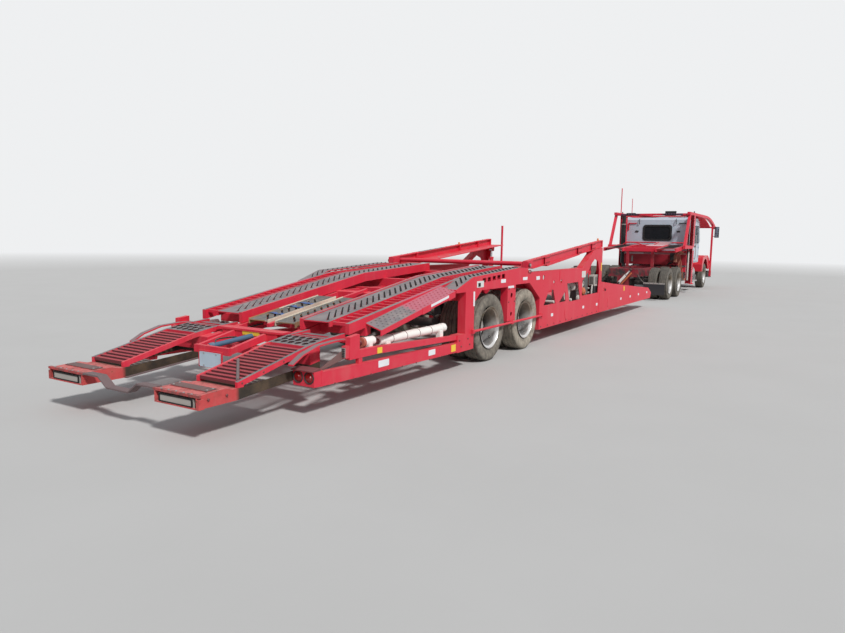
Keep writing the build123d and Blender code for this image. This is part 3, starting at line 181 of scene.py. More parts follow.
class Piece:
    """Surfaces gathered into one mesh. Each brings its points, its faces and the number of its finish."""

    def __init__(self):
        self.points, self.faces, self.finish, self.count = [], [], [], 0

    def add(self, surface, finish=0):
        """Takes a surface. finish is one number, or a list with a number for each block of its faces."""
        points, faces = surface
        self.points.append(points)
        for place, block in enumerate(faces):
            self.faces.append(block + self.count)
            number = finish[place] if isinstance(finish, list) else finish
            self.finish.append(np.full(len(block), number))
        self.count += len(points)
        return self

    def both(self, surface, finish=0):
        """The surface and its mirror image."""
        return self.add(surface, finish).add(mirrored(surface), finish)

    def turn_over(self):
        """Moves all of it to the other side of the truck. The faces are turned outwards later, by build."""
        self.points = [points * (1, -1, 1) for points in self.points]

    def build(self, name, body, slot, finishes, replaces=(), smooth=35):
        """Writes the mesh, its faces outwards, and says which body it rides on. Finishes are on the shelf."""
        mesh = bpy.data.meshes.new(name)
        sizes = np.concatenate([np.full(len(block), block.shape[1]) for block in self.faces])
        corners = np.concatenate([block.reshape(-1) for block in self.faces])
        points = np.concatenate(self.points)
        mesh.vertices.add(len(points))
        mesh.vertices.foreach_set("co", points.astype(np.float32).reshape(-1))
        mesh.loops.add(len(corners))
        mesh.loops.foreach_set("vertex_index", corners.astype(np.int32))
        mesh.polygons.add(len(sizes))
        mesh.polygons.foreach_set("loop_start", np.concatenate([[0], np.cumsum(sizes)[:-1]]).astype(np.int32))
        mesh.polygons.foreach_set("material_index", np.concatenate(self.finish).astype(np.int32))
        mesh.update(calc_edges=True)
        mesh.validate()
        work = bmesh.new()
        work.from_mesh(mesh)
        bmesh.ops.recalc_face_normals(work, faces=work.faces)
        work.to_mesh(mesh)
        work.free()
        mesh.polygons.foreach_set("use_smooth", np.ones(len(mesh.polygons), bool))
        mesh.set_sharp_from_angle(angle=math.radians(smooth))
        made = placed(name, mesh)
        for finish in finishes:
            mesh.materials.append(shelf[finish])
        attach(made, body)
        if replaces:
            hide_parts(*replaces)
        triangles = int((sizes - 2).sum())
        print(f"{name}: {len(points)} points, {triangles} triangles")
        return made


# %% [markdown]
# ## Writing shaders as sums
#
# A material is a chain of small nodes. Placing and joining them by hand is slow to read back, so a value on
# its way through the tree is wrapped in a class whose + - * < and > each add the Math node that does it.

# %% The shader language
def sign(operation, swapped=False):
    """The method for a sign such as +. It adds a Math node fed with both values."""
    def method(self, other):
        pair = [other, self] if swapped else [self, other]
        return self.finish.node("ShaderNodeMath", {"operation": operation}, pair)
    return method


class Wire:
    """A number or colour on its way through a material."""

    __add__ = __radd__ = sign("ADD")
    __sub__ = sign("SUBTRACT")
    __rsub__ = sign("SUBTRACT", swapped=True)
    __mul__ = __rmul__ = sign("MULTIPLY")
    __gt__ = sign("GREATER_THAN")
    __lt__ = sign("LESS_THAN")
    __pow__ = sign("POWER")

    def __init__(self, finish, socket):
        self.finish = finish
        self.socket = socket

    def __abs__(self):
        return self.finish.node("ShaderNodeMath", {"operation": "ABSOLUTE"}, [self])

    def ramp(self, low, high):
        """0 below low, 1 above high, a straight line between."""
        settings = {"interpolation_type": "LINEAR", "clamp": True}
        return self.finish.node("ShaderNodeMapRange", settings, [self, low, high, 0.0, 1.0])


class Finish:
    """A material with its Principled shader. Every node comes from one method: settings, then inputs."""

    def __init__(self, name, rough=0.5, metal=0.0, coat=0.0, shine=0.3):
        self.material = bpy.data.materials.new(name)
        self.material.use_nodes = True
        self.tree = self.material.node_tree
        self.shader = self.tree.nodes["Principled BSDF"]
        self.shader.inputs["Roughness"].default_value = rough
        self.shader.inputs["Metallic"].default_value = metal
        self.shader.inputs["Coat Weight"].default_value = coat
        self.shader.inputs["Specular IOR Level"].default_value = shine
        self.place = self.node("ShaderNodeTexCoord", {}, [], output="Object")
        split = self.node("ShaderNodeSeparateXYZ", {}, [self.place]).socket.node
        self.x, self.y, self.z = (Wire(self, split.outputs[axis]) for axis in "XYZ")
        facing = self.node("ShaderNodeTexCoord", {}, [], output="Normal")
        self.up = self.node("ShaderNodeSeparateXYZ", {}, [facing], output="Z")

    def node(self, kind, settings, inputs, output=0):
        """Adds a node, gives it its settings, then feeds its inputs. None leaves an input as it is."""
        made = self.tree.nodes.new(kind)
        for key, value in settings.items():
            setattr(made, key, value)
        pairs = inputs.items() if isinstance(inputs, dict) else enumerate(inputs)
        for key, value in pairs:
            if isinstance(value, Wire):
                self.tree.links.new(value.socket, made.inputs[key])
            elif value is not None:
                made.inputs[key].default_value = value
        return Wire(self, made.outputs[output])

    def noise(self, scale, detail=4.0, rough=0.55, stretch=(1, 1, 1)):
        """Cloudy noise, 0 to 1. stretch squeezes it along an axis."""
        where = self.node("ShaderNodeMapping", {"vector_type": "POINT"},
                          {"Vector": self.place, "Scale": stretch})
        inputs = {"Vector": where, "Scale": scale, "Detail": detail, "Roughness": rough}
        return self.node("ShaderNodeTexNoise", {}, inputs)

    def mix(self, factor, first, second):
        """first where the factor is 0, second where it is 1."""
        inputs = {0: factor, 6: colour(first), 7: colour(second)}
        return self.node("ShaderNodeMix", {"data_type": "RGBA"}, inputs, output=2)

    def feed(self, **sockets):
        """Joins values to the shader: base, rough, metal, alpha, and bump as (height, strength, distance)."""
        names = {"base": "Base Color", "rough": "Roughness", "metal": "Metallic", "alpha": "Alpha"}
        for key, value in sockets.items():
            if key == "bump":
                height, strength, distance = value
                inputs = {"Height": height, "Strength": strength, "Distance": distance}
                normal = self.node("ShaderNodeBump", {}, inputs)
                self.tree.links.new(normal.socket, self.shader.inputs["Normal"])
            elif isinstance(value, Wire):
                self.tree.links.new(value.socket, self.shader.inputs[names[key]])
            else:
                self.shader.inputs[names[key]].default_value = colour(value) if key == "base" else value
        return self.material


def colour(value):
    """Three numbers as a colour with full cover; anything else stays as it is."""
    return (*value, 1.0) if isinstance(value, tuple) and len(value) == 3 else value


RED = (0.60, 0.014, 0.036)
FADED_RED = (0.66, 0.052, 0.090)
DUST = (0.50, 0.41, 0.34)
GRIP = (0.165, 0.148, 0.152)
RUST = (0.21, 0.075, 0.035)
PRIMER = (0.42, 0.06, 0.075)
print("colours named")

# %% [markdown]
# ## Worn red paint
#
# Years of sun turn the red a little pink, rain draws dust down the sides in streaks, dust settles on what
# faces up and thrown grit chips the low parts. Each of these is one mask, and the masks are mixed in that
# order over the red.

# %% Paint
def weathered(f, dusty, chips, base=RED, faded=FADED_RED):
    """Colour, roughness to add and fine noise of old paint: clouds, streaks, dust, chips down to rust."""
    clouds = f.noise(0.9, 3.0)
    fine = f.noise(38.0, 6.0, 0.7)
    streaks = f.noise(7.0, 5.0, 0.6, (1.0, 1.0, 0.12)).ramp(0.52, 0.8)
    settled = f.up.ramp(0.25, 1.0) * f.noise(5.0, 6.0, 0.65).ramp(0.35, 0.8)
    low = (1 - f.z.ramp(0.1, 0.85)) * f.noise(11.0, 5.0).ramp(0.4, 0.85)
    tone = f.mix(clouds.ramp(0.3, 0.75) * 0.55, base, faded)
    tone = f.mix((streaks * 0.22 + low * 0.25) * dusty * 1.6, tone, DUST)
    tone = f.mix(settled * dusty, tone, DUST)
    bare = fine * 0.65 + f.noise(6.0, 3.0) * 0.35 > 0.675 - 0.05 * chips
    tone = f.mix(bare * min(1.0, 0.9 * chips), tone, RUST)
    return tone, settled * 0.3 + low * 0.2 + bare * 0.25 + clouds * 0.12, fine


def paint(name, base=RED, faded=FADED_RED, dusty=0.25, chips=0.5, rough=0.42):
    """Old paint all over."""
    f = Finish(name, rough)
    tone, haze, fine = weathered(f, dusty, chips, base, faded)
    return f.feed(base=tone, rough=haze + rough, bump=(fine, 0.12, 0.002))


red_paint = paint("red_paint")
side_paint = paint("side_paint", dusty=0.35, chips=0.4)
hood_paint = paint("hood_paint", (0.60, 0.018, 0.035), (0.62, 0.05, 0.07), dusty=0.12, chips=0.2, rough=0.28)
print("paints ready")

# %% [markdown]
# ## Grip coating and plain steel
#
# The tracks carry a gritty dark coating that tyres have polished grey, with the red primer showing where it
# has gone. Fine noise gives the grit, and a second, larger one rubs it away.

# %% Coatings, rubber, metals and plastics
def gritty(f, base, under, bare):
    """Colour, roughness and grit of a coating: a dark base, lighter where polished, red where rubbed away."""
    grit = f.noise(260.0, 2.0, 0.5)
    polish = f.noise(3.5, 6.0, 0.65).ramp(0.35, 0.7)
    rubbed = f.noise(16.0, 8.0, 0.75, (0.5, 1.0, 1.0)).ramp(0.56, 0.68)
    tone = f.mix(polish * 0.6, base, tuple(1.8 * c for c in base))
    tone = f.mix(rubbed * bare, tone, under)
    tone = f.mix(f.up.ramp(0.2, 1.0) * f.noise(9.0, 5.0).ramp(0.45, 0.8) * 0.3, tone, DUST)
    return tone, 0.85 - polish * 0.2, grit


def grip(name, base=GRIP, under=PRIMER, bare=0.3):
    """Grit all over."""
    f = Finish(name, 0.8)
    tone, rough, grit = gritty(f, base, under, bare)
    return f.feed(base=tone, rough=rough, bump=(grit, 0.55, 0.003))


def plain(name, base, rough=0.5, metal=0.0, dusty=0.25, coat=0.0, speck=40.0, bump=0.08):
    """A smooth finish with a little cloudy change of tone and some dust on what faces up."""
    f = Finish(name, rough, metal, coat)
    clouds = f.noise(4.0, 5.0)
    fine = f.noise(speck, 5.0, 0.6)
    tone = f.mix(clouds.ramp(0.3, 0.7) * 0.35, base, tuple(0.72 * c for c in base))
    settled = f.up.ramp(0.1, 1.0) * fine.ramp(0.35, 0.7) + (1 - f.z.ramp(0.05, 0.7)) * 0.5 * clouds
    tone = f.mix(settled * dusty, tone, DUST)
    return f.feed(base=tone, rough=settled * 0.25 + clouds * 0.15 + (rough - 0.08), bump=(fine, bump, 0.002))


def lens(name, base, rough=0.15):
    """Clear coloured plastic: smooth under a coat, with a faint cloud so that it isn't one flat tone."""
    f = Finish(name, rough, coat=0.7)
    return f.feed(base=f.mix(f.noise(30.0, 3.0).ramp(0.3, 0.7) * 0.3, base, tuple(0.6 * c for c in base)))


deck_grip = grip("deck_grip")
pink_grip = grip("pink_grip", (0.36, 0.085, 0.11), (0.50, 0.03, 0.07), 0.5)
PLAIN_FINISHES = {
    # colour, roughness, metal, dust and, on a few, clear coat
    "chassis_black": ((0.028, 0.027, 0.028), 0.55, 0.0, 0.5),
    "bare_steel": ((0.42, 0.40, 0.38), 0.45, 0.7, 0.35),
    "worn_edge": ((0.30, 0.29, 0.29), 0.5, 0.3, 0.2),
    # slot_dark: near black, used mostly as painted shade in slots, holes and the open sides of louvre lips
    "slot_dark": ((0.016, 0.013, 0.013), 0.9, 0.0, 0.0),
    # the cab's white paint is set blue-grey: its own white together with painted shade, as its rear wall
    # stands in shade
    "cab_white": ((0.475, 0.545, 0.615), 0.35, 0.0, 0.1, 0.2),
    "white_pipe": ((0.86, 0.84, 0.79), 0.5, 0.0, 0.3),
    "chrome_rod": ((0.62, 0.62, 0.63), 0.2, 1.0, 0.1),
    "tank_metal": ((0.64, 0.64, 0.65), 0.28, 1.0, 0.15),
    "oily_iron": ((0.13, 0.13, 0.13), 0.5, 0.6, 0.3),
    "black_plastic": ((0.02, 0.02, 0.021), 0.5, 0.0, 0.15),
    "cab_trim": ((0.07, 0.068, 0.07), 0.7, 0.0, 0.05),
    "silver_tag": ((0.78, 0.78, 0.80), 0.35, 0.0, 0.08, 0.3),
    "pale_label": ((0.66, 0.66, 0.63), 0.5, 0.0, 0.2),
    "yellow_label": ((0.82, 0.56, 0.05), 0.5, 0.0, 0.15),
    "blank_white": ((0.50, 0.60, 0.68), 0.35, 0.0, 0.15, 0.2),
    "worn_bolt": ((0.20, 0.05, 0.055), 0.5, 0.4, 0.25),
    "end_rust": ((0.42, 0.12, 0.08), 0.7, 0.0, 0.2),
    "strap_blue": ((0.045, 0.11, 0.30), 0.8, 0.0, 0.2),
    "ram_blue": ((0.07, 0.13, 0.20), 0.5, 0.2, 0.3),
    "hose_black": ((0.018, 0.018, 0.019), 0.6, 0.0, 0.3),
    "hose_tan": ((0.36, 0.15, 0.095), 0.7, 0.0, 0.2),
    "purple_cap": ((0.13, 0.06, 0.15), 0.5, 0.0, 0.2),
    "mirror_glass": ((0.55, 0.60, 0.66), 0.06, 1.0, 0.0),
    "grey_box": ((0.30, 0.29, 0.28), 0.6, 0.0, 0.35),
    "orange_cap": ((0.75, 0.22, 0.02), 0.5, 0.0, 0.1),
    "dull_white": ((0.55, 0.52, 0.48), 0.55, 0.0, 0.3),
    "nose_grey": ((0.40, 0.365, 0.33), 0.6, 0.1, 0.3),
    "pink_plate": ((0.62, 0.40, 0.41), 0.6, 0.0, 0.2),
    "flap_black": ((0.022, 0.022, 0.027), 0.6, 0.0, 0.15),
    "rust_orange": ((0.55, 0.14, 0.06), 0.6, 0.0, 0.15),
}
shelf = {}
for name, values in PLAIN_FINISHES.items():
    shelf[name] = plain(name, *values)
LENS_FINISHES = {
    "lamp_red": (0.26, 0.006, 0.008), "lamp_clear": (0.55, 0.57, 0.60), "amber": (0.75, 0.20, 0.02),
}
for name, base in LENS_FINISHES.items():
    shelf[name] = lens(name, base)


def tyre_rubber():
    """Tread nearly black, beige with dry mud on the sides and in the grooves, and more of it ahead."""
    f = Finish("tyre_rubber", 0.85)
    mud = f.noise(14.0, 7.0, 0.65)
    rings = f.noise(26.0, 3.0, 0.5)
    wall = 1 - abs(f.up)
    ahead = (f.x > front_axle - 0.5) * (f.x < front_axle + 0.5)
    behind = f.x < rear_axle + 0.6
    share = mud.ramp(0.25, 0.7) * (0.36 + 0.20 * behind + 0.5 * ahead) + 0.22 * ahead + 0.06
    tone = f.mix(share * (0.45 + 0.55 * wall), (0.046, 0.043, 0.040), (0.40, 0.35, 0.28))
    return f.feed(base=tone, rough=0.95 - mud * 0.15, bump=(rings, 0.15, 0.003))


def rim_metal():
    """Polished alloy: brown on its upper half, partly dust and partly painted shade, bright below,
    and dark with painted shade in the depth of the trailer's rims.
    """
    f = Finish("rim_metal", 0.32, 1.0)
    mud = f.noise(9.0, 6.0, 0.65).ramp(0.35, 0.7)
    # upper half: brown dust together with painted shade of the barrel's shaded top inside
    high = f.z.ramp(0.37, 0.60)
    # painted shade in the depth of the trailer's dished twin rims
    depth_shade = (1 - abs(f.y).ramp(1.03, 1.16)) * (f.x < rear_axle + 2.0)
    share = mud * 0.16 + high * 0.80 + 0.04
    tone = f.mix(share, (0.82, 0.81, 0.80), (0.155, 0.115, 0.070))
    tone = f.mix(depth_shade * 0.8, tone, (0.045, 0.036, 0.028))
    return f.feed(base=tone, rough=share * 0.5 + 0.24, metal=(1 - share) * (1 - depth_shade * 0.7),
                  bump=(f.noise(60.0, 3.0), 0.05, 0.002))


def window_glass():
    """Tinted glass: nearly black from outside and a little see-through."""
    f = Finish("window_glass", 0.06, shine=0.12)
    film = f.noise(3.0, 4.0).ramp(0.3, 0.8)
    return f.feed(base=f.mix(film * 0.2, (0.004, 0.005, 0.008), (0.05, 0.05, 0.055)),
                  rough=film * 0.12 + 0.04,
                  alpha=0.93)


shelf["tyre_rubber"] = tyre_rubber()
shelf["rim_metal"] = rim_metal()
shelf["window_glass"] = window_glass()
print("finishes", len(bpy.data.materials))

# %% [markdown]
# ## Finishes that change along a part
#
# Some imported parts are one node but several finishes: a plate is coated where tyres run and painted at its
# edges. The material then chooses by place, with x counted from the rear trailer axle and the side as the
# distance from the middle.

# %% Finishes by place
def within(value, low, high):
    """1 between two numbers, 0 outside them."""
    return (value > low) * (value < high)


def finished(f, tone, haze, fine, rough=0.42, strength=0.12, distance=0.002):
    """Feeds a tone, a haze on top of a roughness, and a fine noise as bump."""
    return f.feed(base=tone, rough=haze + rough, bump=(fine, strength, distance))


def track_finish():
    """Grip on the running plates, pink where the panel's grip has gone, red on the edge beams."""
    f = Finish("track_finish", 0.7)
    side = abs(f.y)
    plate = (within(side, 0.452, 0.868) + within(side, 1.042, 1.289)) * f.up.ramp(0.5, 0.8)
    coat, rough, grit = gritty(f, GRIP, PRIMER, 0.3)
    start = rear_axle - 1.96
    pink = f.x.ramp(start - 0.06, start + 0.04) * (f.x < rear_axle - 1.04) * (side > 1.04)
    coat = f.mix(pink * 0.9, coat, (0.45, 0.125, 0.165))
    body, haze, fine = weathered(f, 0.25, 0.5)
    rough = f.node("ShaderNodeMix", {"data_type": "FLOAT"}, {0: plate, 2: haze + 0.42, 3: rough})
    return f.feed(base=f.mix(plate, body, coat), rough=rough, bump=(grit, plate * 0.3 + 0.1, 0.003))


def ramp_finish():
    """Tail ramps: grey hole plates and outer rails on top, dark red rungs made darker still on their sides as
    painted shade, red sides.
    """
    f = Finish("ramp_finish", 0.6)
    side, x = abs(f.y), f.x - rear_axle
    top = f.up.ramp(0.5, 0.8)
    grey = top * ((x > -3.49) + (side > 0.995) * (x > -4.36)) * (1 - (side < 0.555) * (x < -3.49))
    rung = within(side, 0.552, 0.998) * (x < -3.485)
    coat, rough, grit = gritty(f, (0.135, 0.125, 0.13), PRIMER, 0.35)
    body, haze, fine = weathered(f, 0.3, 0.8)
    # rungs: dark red paint, and more dark on faces not turned up, which is painted shade between the rungs
    body = f.mix(rung * (0.55 + 0.4 * (1 - top)), body, (0.10, 0.03, 0.034))
    tone = f.mix(grey.ramp(0.0, 1.0), body, coat)
    scratch = abs((x + 4.32) * 0.38 - (f.y + 1.0) * 0.36) < 0.009
    tone = f.mix(scratch * (f.y < 0.0) * (f.z - x * 0.2184 > 1.3925), tone, (0.16, 0.12, 0.12))
    return finished(f, tone, haze, grit, 0.5, 0.3, 0.003)


def beam_finish():
    """Tail beams: brown channels, then faded end boxes with grey lids and dark rear lips."""
    f = Finish("beam_finish", 0.6)
    x = f.x - rear_axle
    box, haze, fine = weathered(f, 0.35, 1.3, (0.50, 0.040, 0.045), (0.56, 0.12, 0.11))
    box = f.mix(f.up.ramp(0.4, 0.9) * 0.4, box, (0.62, 0.20, 0.19))
    lid = within(x, -4.645, -4.535)
    scraped = f.noise(22.0, 5.0, 0.7).ramp(0.4, 0.65) * (lid * (f.z > 0.404) + (x < -4.738) * (f.z > 0.384))
    exposed = 0.25 + 0.45 * f.up.ramp(0.3, 0.8) + 0.5 * (x < -4.715)
    rusty = f.noise(13.0, 7.0, 0.75).ramp(0.48, 0.66) * exposed
    box = f.mix(rusty, box, (0.13, 0.045, 0.032))
    box = f.mix(scraped * 0.85, box, (0.10, 0.06, 0.055))
    box = f.mix(lid * (f.z > 0.410) * 0.85, box, (0.11, 0.085, 0.08))
    channel = f.mix(f.noise(5.0, 6.0, 0.65).ramp(0.35, 0.7), (0.022, 0.018, 0.015), (0.095, 0.062, 0.038))
    channel = f.mix((1 - f.z.ramp(0.27, 0.33)) * 0.5, channel, (0.03, 0.028, 0.028))
    tone = f.mix(x.ramp(-4.37, -4.33), box, channel)
    tone = f.mix(abs(f.y) < 0.495, tone, (0.15, 0.105, 0.105))
    return finished(f, tone, haze, fine, 0.55, 0.2)


def rails_finish():
    """Tail rails: red, with a grey guide strip on top, a dark gusset and the dark lid of the lamp box."""
    f = Finish("rails_finish", 0.5)
    side, x = abs(f.y), f.x - rear_axle
    body, haze, fine = weathered(f, 0.3, 0.6)
    guide = within(side, 1.105, 1.175) * within(x, -3.84, -3.03) * (f.z > 0.5) * f.up.ramp(0.4, 0.7)
    tone = f.mix(guide * 0.9, body, GRIP)
    gusset = within(side, 1.226, 1.242) * within(x, -3.59, -3.155) * within(f.z, 0.434, 0.585)
    tone = f.mix(gusset * 0.9, tone, (0.12, 0.10, 0.09))
    tone = f.mix((x < -3.598) * within(f.z, 0.447, 0.472) * 0.85, tone, (0.09, 0.05, 0.05))
    return finished(f, tone, haze, fine)


def unit_finish():
    """Power unit: a pale tank, then dark oily iron."""
    f = Finish("unit_finish", 0.5)
    oil = f.noise(7.0, 6.0, 0.65).ramp(0.35, 0.75)
    tone = f.mix(f.x > rear_axle + 3.62, (0.50, 0.47, 0.43), (0.12, 0.12, 0.12))
    return finished(f, f.mix(oil * 0.55, tone, (0.09, 0.07, 0.055)), oil * 0.25, oil, 0.4, 0.08)


def nose_finish():
    """Hood: red, with grey grille bars before a dark hollow."""
    f = Finish("nose_finish", 0.3, coat=0.2)
    body, haze, fine = weathered(f, 0.12, 0.2, (0.58, 0.012, 0.028), (0.62, 0.04, 0.06))
    grille = (abs(f.y) < 0.352) * within(f.z, 0.788, 1.242) * (f.x > hitch + 9.0)
    bars_or_hollow = f.mix(f.x > hitch + 9.325, (0.015, 0.015, 0.016), (0.34, 0.34, 0.35))
    return finished(f, f.mix(grille, body, bars_or_hollow), haze, fine, 0.3, 0.06)


def chassis_finish():
    """Frame steel: black, with dark red paint and brown dirt left in patches between the drive wheels."""
    f = Finish("chassis_finish", 0.6)
    patches = f.noise(3.2, 5.0, 0.6).ramp(0.36, 0.52) * (abs(f.y) < 0.62)
    dirt = f.noise(9.0, 6.0, 0.7).ramp(0.45, 0.75)
    tone = f.mix(patches * 0.95, (0.028, 0.026, 0.028), (0.24, 0.014, 0.028))
    tone = f.mix((f.z > 0.935) * (f.x < hitch + 4.7), tone, (0.34, 0.014, 0.030))
    return finished(f, f.mix(dirt * 0.3, tone, (0.22, 0.16, 0.11)), dirt * 0.2, dirt, 0.55, 0.1)


def centre_finish():
    """Centre frame: red, with the ram blue-grey. The ram is found by its distance from its middle line."""
    f = Finish("centre_finish", 0.5)
    x = f.x - rear_axle + 3.71
    ram = (abs(f.y - 0.09 + x * 0.265) < 0.034) * (abs(f.z - 0.545 - x * 0.143) < 0.036) * (x > 0.02)
    body, haze, fine = weathered(f, 0.3, 0.7)
    return finished(f, f.mix(ram, body, (0.06, 0.12, 0.19)), haze, fine)


def bay_finish():
    """Low deck: two reds of old paint, one on each side of the middle."""
    f = Finish("bay_red", 0.5)
    pair = []
    for tone in (RED, (0.50, 0.03, 0.05)):
        faded = tuple(min(1.0, 1.08 * c + 0.03) for c in tone)
        pair.append(weathered(f, 0.25, 0.5, tone, faded))
    (right, _, _), (left, haze, fine) = pair
    return finished(f, f.mix(f.y > 0.0, right, left), haze, fine)


def skid_finish():
    """Loading skids: dark grip on top, tan worn edges and ends."""
    f = Finish("skid_finish", 0.7)
    coat, rough, grit = gritty(f, (0.10, 0.095, 0.09), (0.35, 0.28, 0.2), 0.5)
    worn = f.noise(8.0, 5.0, 0.6, (0.3, 1.0, 1.0)).ramp(0.45, 0.8)
    brown, pale = (0.26, 0.165, 0.09), (0.66, 0.58, 0.46)
    left = f.mix(f.x > rear_axle - 2.42, (0.36, 0.21, 0.10), pale)
    edge = f.mix(abs(f.y) < 0.1, f.mix(f.y > 0.0, brown, left), pale)
    edge = f.mix(worn * 0.6, edge, (0.17, 0.12, 0.085))
    plate = f.up.ramp(0.4, 0.8) * (abs(abs(f.y) - 0.2) < 0.138) * (f.x > rear_axle - 3.0)
    tone = f.mix(f.x < rear_axle - 3.2, f.mix(plate, edge, coat), (0.33, 0.31, 0.28))
    return f.feed(base=tone, rough=rough, bump=(grit, 0.3, 0.003))


def rack_finish():
    """Head rack: red, with painted shade in the post channels and a painted highlight on the right flange
    edges, its dark box panel behind the cab with a white band, and black stubs on the posts.
    """
    f = Finish("rack_finish", 0.5)
    x, side, low = f.x - hitch, abs(f.y), f.z < 2.61
    body, haze, fine = weathered(f, 0.25, 0.5)
    # painted shade inside the rear posts' channels
    channel = within(side, 1.042, 1.236) * within(x, 4.97, 5.165) * low
    body = f.mix(channel * 0.55, body, (0.10, 0.012, 0.018))
    panel = (side < 1.05) * within(f.z, 0.925, 1.425) * within(x, 4.86, 4.99)
    body = f.mix(panel * 0.8, body, (0.20, 0.014, 0.022))
    band = panel * within(f.z, 1.288, 1.348) * (x < 4.905)
    body = f.mix(band * (0.35 + 0.55 * (f.y > 0.36)), body, (0.58, 0.50, 0.51))
    # painted highlight: the sunlit rear edges of the right posts' flanges
    edge = within(x, 4.97, 4.985) * low * (f.y < 0.0) * (abs(abs(f.y + 1.14) - 0.093) < 0.009)
    body = f.mix(edge * 0.75, body, (0.66, 0.33, 0.36))
    stub = (f.z > 2.702) * (abs(x - 5.08) < 0.03) * (abs(side - 1.2) < 0.03)
    return finished(f, f.mix(stub, body, (0.025, 0.022, 0.022)), haze, fine)


def deck_finish(name, pale):
    """Tractor and cab decks: grip on top of the plates, pink-white on the loose cover, red beams."""
    f = Finish(name, 0.7)
    base = (0.20, 0.055, 0.065) if pale else (0.13, 0.118, 0.12)
    coat, rough, grit = gritty(f, base, (0.50, 0.03, 0.055), 0.7)
    body = weathered(f, 0.25, 0.5)[0]
    tone = f.mix(f.up.ramp(0.5, 0.8) * within(abs(f.y), 0.545, 1.085), body, coat)
    if pale:
        cover = within(f.x, hitch + 3.725, hitch + 4.505) * within(f.y, -0.51, 0.055) * f.up.ramp(0.4, 0.7)
        tone = f.mix(cover * 0.85, tone, (0.62, 0.46, 0.47))
    return f.feed(base=tone, rough=rough, bump=(grit, 0.3, 0.003))


shelf.update({
    "track": track_finish(), "ramp": ramp_finish(), "beam": beam_finish(), "centre": centre_finish(),
    "rails": rails_finish(), "frame": chassis_finish(), "skid": skid_finish(), "rack": rack_finish(),
    "loose_deck": deck_finish("tractor_deck_finish", True),
    "high_deck": deck_finish("rack_deck_finish", False),
    "nose": nose_finish(), "unit": unit_finish(), "bay_red": bay_finish(), "red_paint": red_paint,
    "side_paint": side_paint, "hood_paint": hood_paint, "deck_grip": deck_grip, "pink_grip": pink_grip,
})
print("finishes by place ready")

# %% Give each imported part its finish
DRESS = {
    "track": "rear_track_left rear_track_right", "ramp": "tail_ramps", "beam": "tail_beams",
    "centre": "tail_frame", "rails": "tail_rails", "frame": "chassis", "skid": "skids",
    "rack": "rack_frame", "nose": "hood", "loose_deck": "tractor_deck", "high_deck": "rack_deck",
    "unit": "power_unit", "bay_red": "low_deck", "lamp_red": "tail_lamps",
    "side_paint": "girder_left girder_right", "window_glass": "cab_glass door_glass_left door_glass_right",
    "white_pipe": "side_cylinders", "chassis_black": "trailer_axles tractor_axles knuckle_left knuckle_right",
    "chrome_rod": "ramp_rods", "oily_iron": "engine", "cab_white": "cab_shell door_left door_right",
    "cab_trim": "cab_inside", "tank_metal": "bumper fuel_tanks", "black_plastic": "stack mirrors",
    "lamp_clear": "headlamps",
}
finish_of = {name: finish for finish, names in DRESS.items() for name in names.split()}
for name, node in nodes.items():
    finish = finish_of.get(name, "red_paint")
    if name.endswith(("_tyre", "_tyres")):
        finish = "tyre_rubber"
    if name.endswith("_rim"):
        finish = "rim_metal"
    node.data.materials.clear()
    node.data.materials.append(shelf[finish])
print("dressed", len(nodes))

# %% [markdown]
# ## Tyres and rims
#
# A truck tyre is a ring with a flat tread, round shoulders and a bulging side. Its section is one closed
# profile, spun about the axle, with the grooves cut by a formula: the radius drops where a groove runs. The
# rim is spun as well: a lip, a barrel, a dished disc with hand holes, and ten nuts on a circle.

# %% Tyre and rim
SIDES = 96
GROOVES = (-0.078, -0.028, 0.028, 0.078)  # places of the grooves across the tread
GROOVE_WIDE = 0.010
GROOVE_DEEP = 0.011
BEAD_RADIUS = 0.291
TWIN_WIDE = 0.255
NUT_CIRCLE = 0.1675


def tyre(y, width, centre):
    """One tyre. Across the tread r = R - drop, the drop being a crown of 3 mm and the grooves. Down the side
    y = half + bulge * sin(pi t), t running from shoulder to bead."""
    half = width / 2
    across = np.linspace(-1, 1, 61) * (half - 0.026)
    near = np.abs(across[:, None] - np.array(GROOVES)[None]).min(axis=1)
    drop = 0.003 * (across / half) ** 2 + GROOVE_DEEP * (near < GROOVE_WIDE / 2)
    t = np.linspace(0, 1, 12)
    shoulder = tyre_radius - 0.016 - (tyre_radius - 0.016 - BEAD_RADIUS) * t
    side = half - 0.008 + 0.008 * np.sin(np.pi * t) - 0.022 * t ** 3
    side[0] = half - 0.012
    outer = np.c_[tyre_radius - drop, across]
    profile = np.concatenate([outer, np.c_[shoulder, side], np.c_[shoulder[::-1], -side[::-1]]]) + (0, y)
    points, faces = turned(profile, centre, "y", SIDES, closed=True)
    ring = points.reshape(len(profile), SIDES, 3)
    near_edge = np.abs(np.abs(profile[:, 1] - y) - (half - 0.034)) < 0.017
    lug = (np.arange(SIDES) % 2 == 0)[None] * near_edge[:, None]
    flat = (ring - centre)[:, :, (0, 2)] * (1 - 0.016 * lug[..., None])
    ring[:, :, (0, 2)] = flat + np.array(centre)[[0, 2]]
    return ring.reshape(-1, 3), faces


def circle(radius, count, y, centre, phase=0.0):
    """Places on a circle about the axle: (r cos a, y, r sin a)."""
    a = phase + np.arange(count) * 2 * np.pi / count
    return np.stack([radius * np.cos(a), np.full(count, y), radius * np.sin(a)], -1) + centre


def nuts(radius, count, y0, y1, size, centre):
    """Nuts on a circle: each a short six-sided bar along Y."""
    bar = turned([(size, y0), (size, y1)], (0, 0, 0), "y", 6)
    ends = [np.arange(6)[None], np.arange(6)[None] + 6]
    return moved((bar[0], bar[1] + ends), circle(radius, count, 0.0, centre))


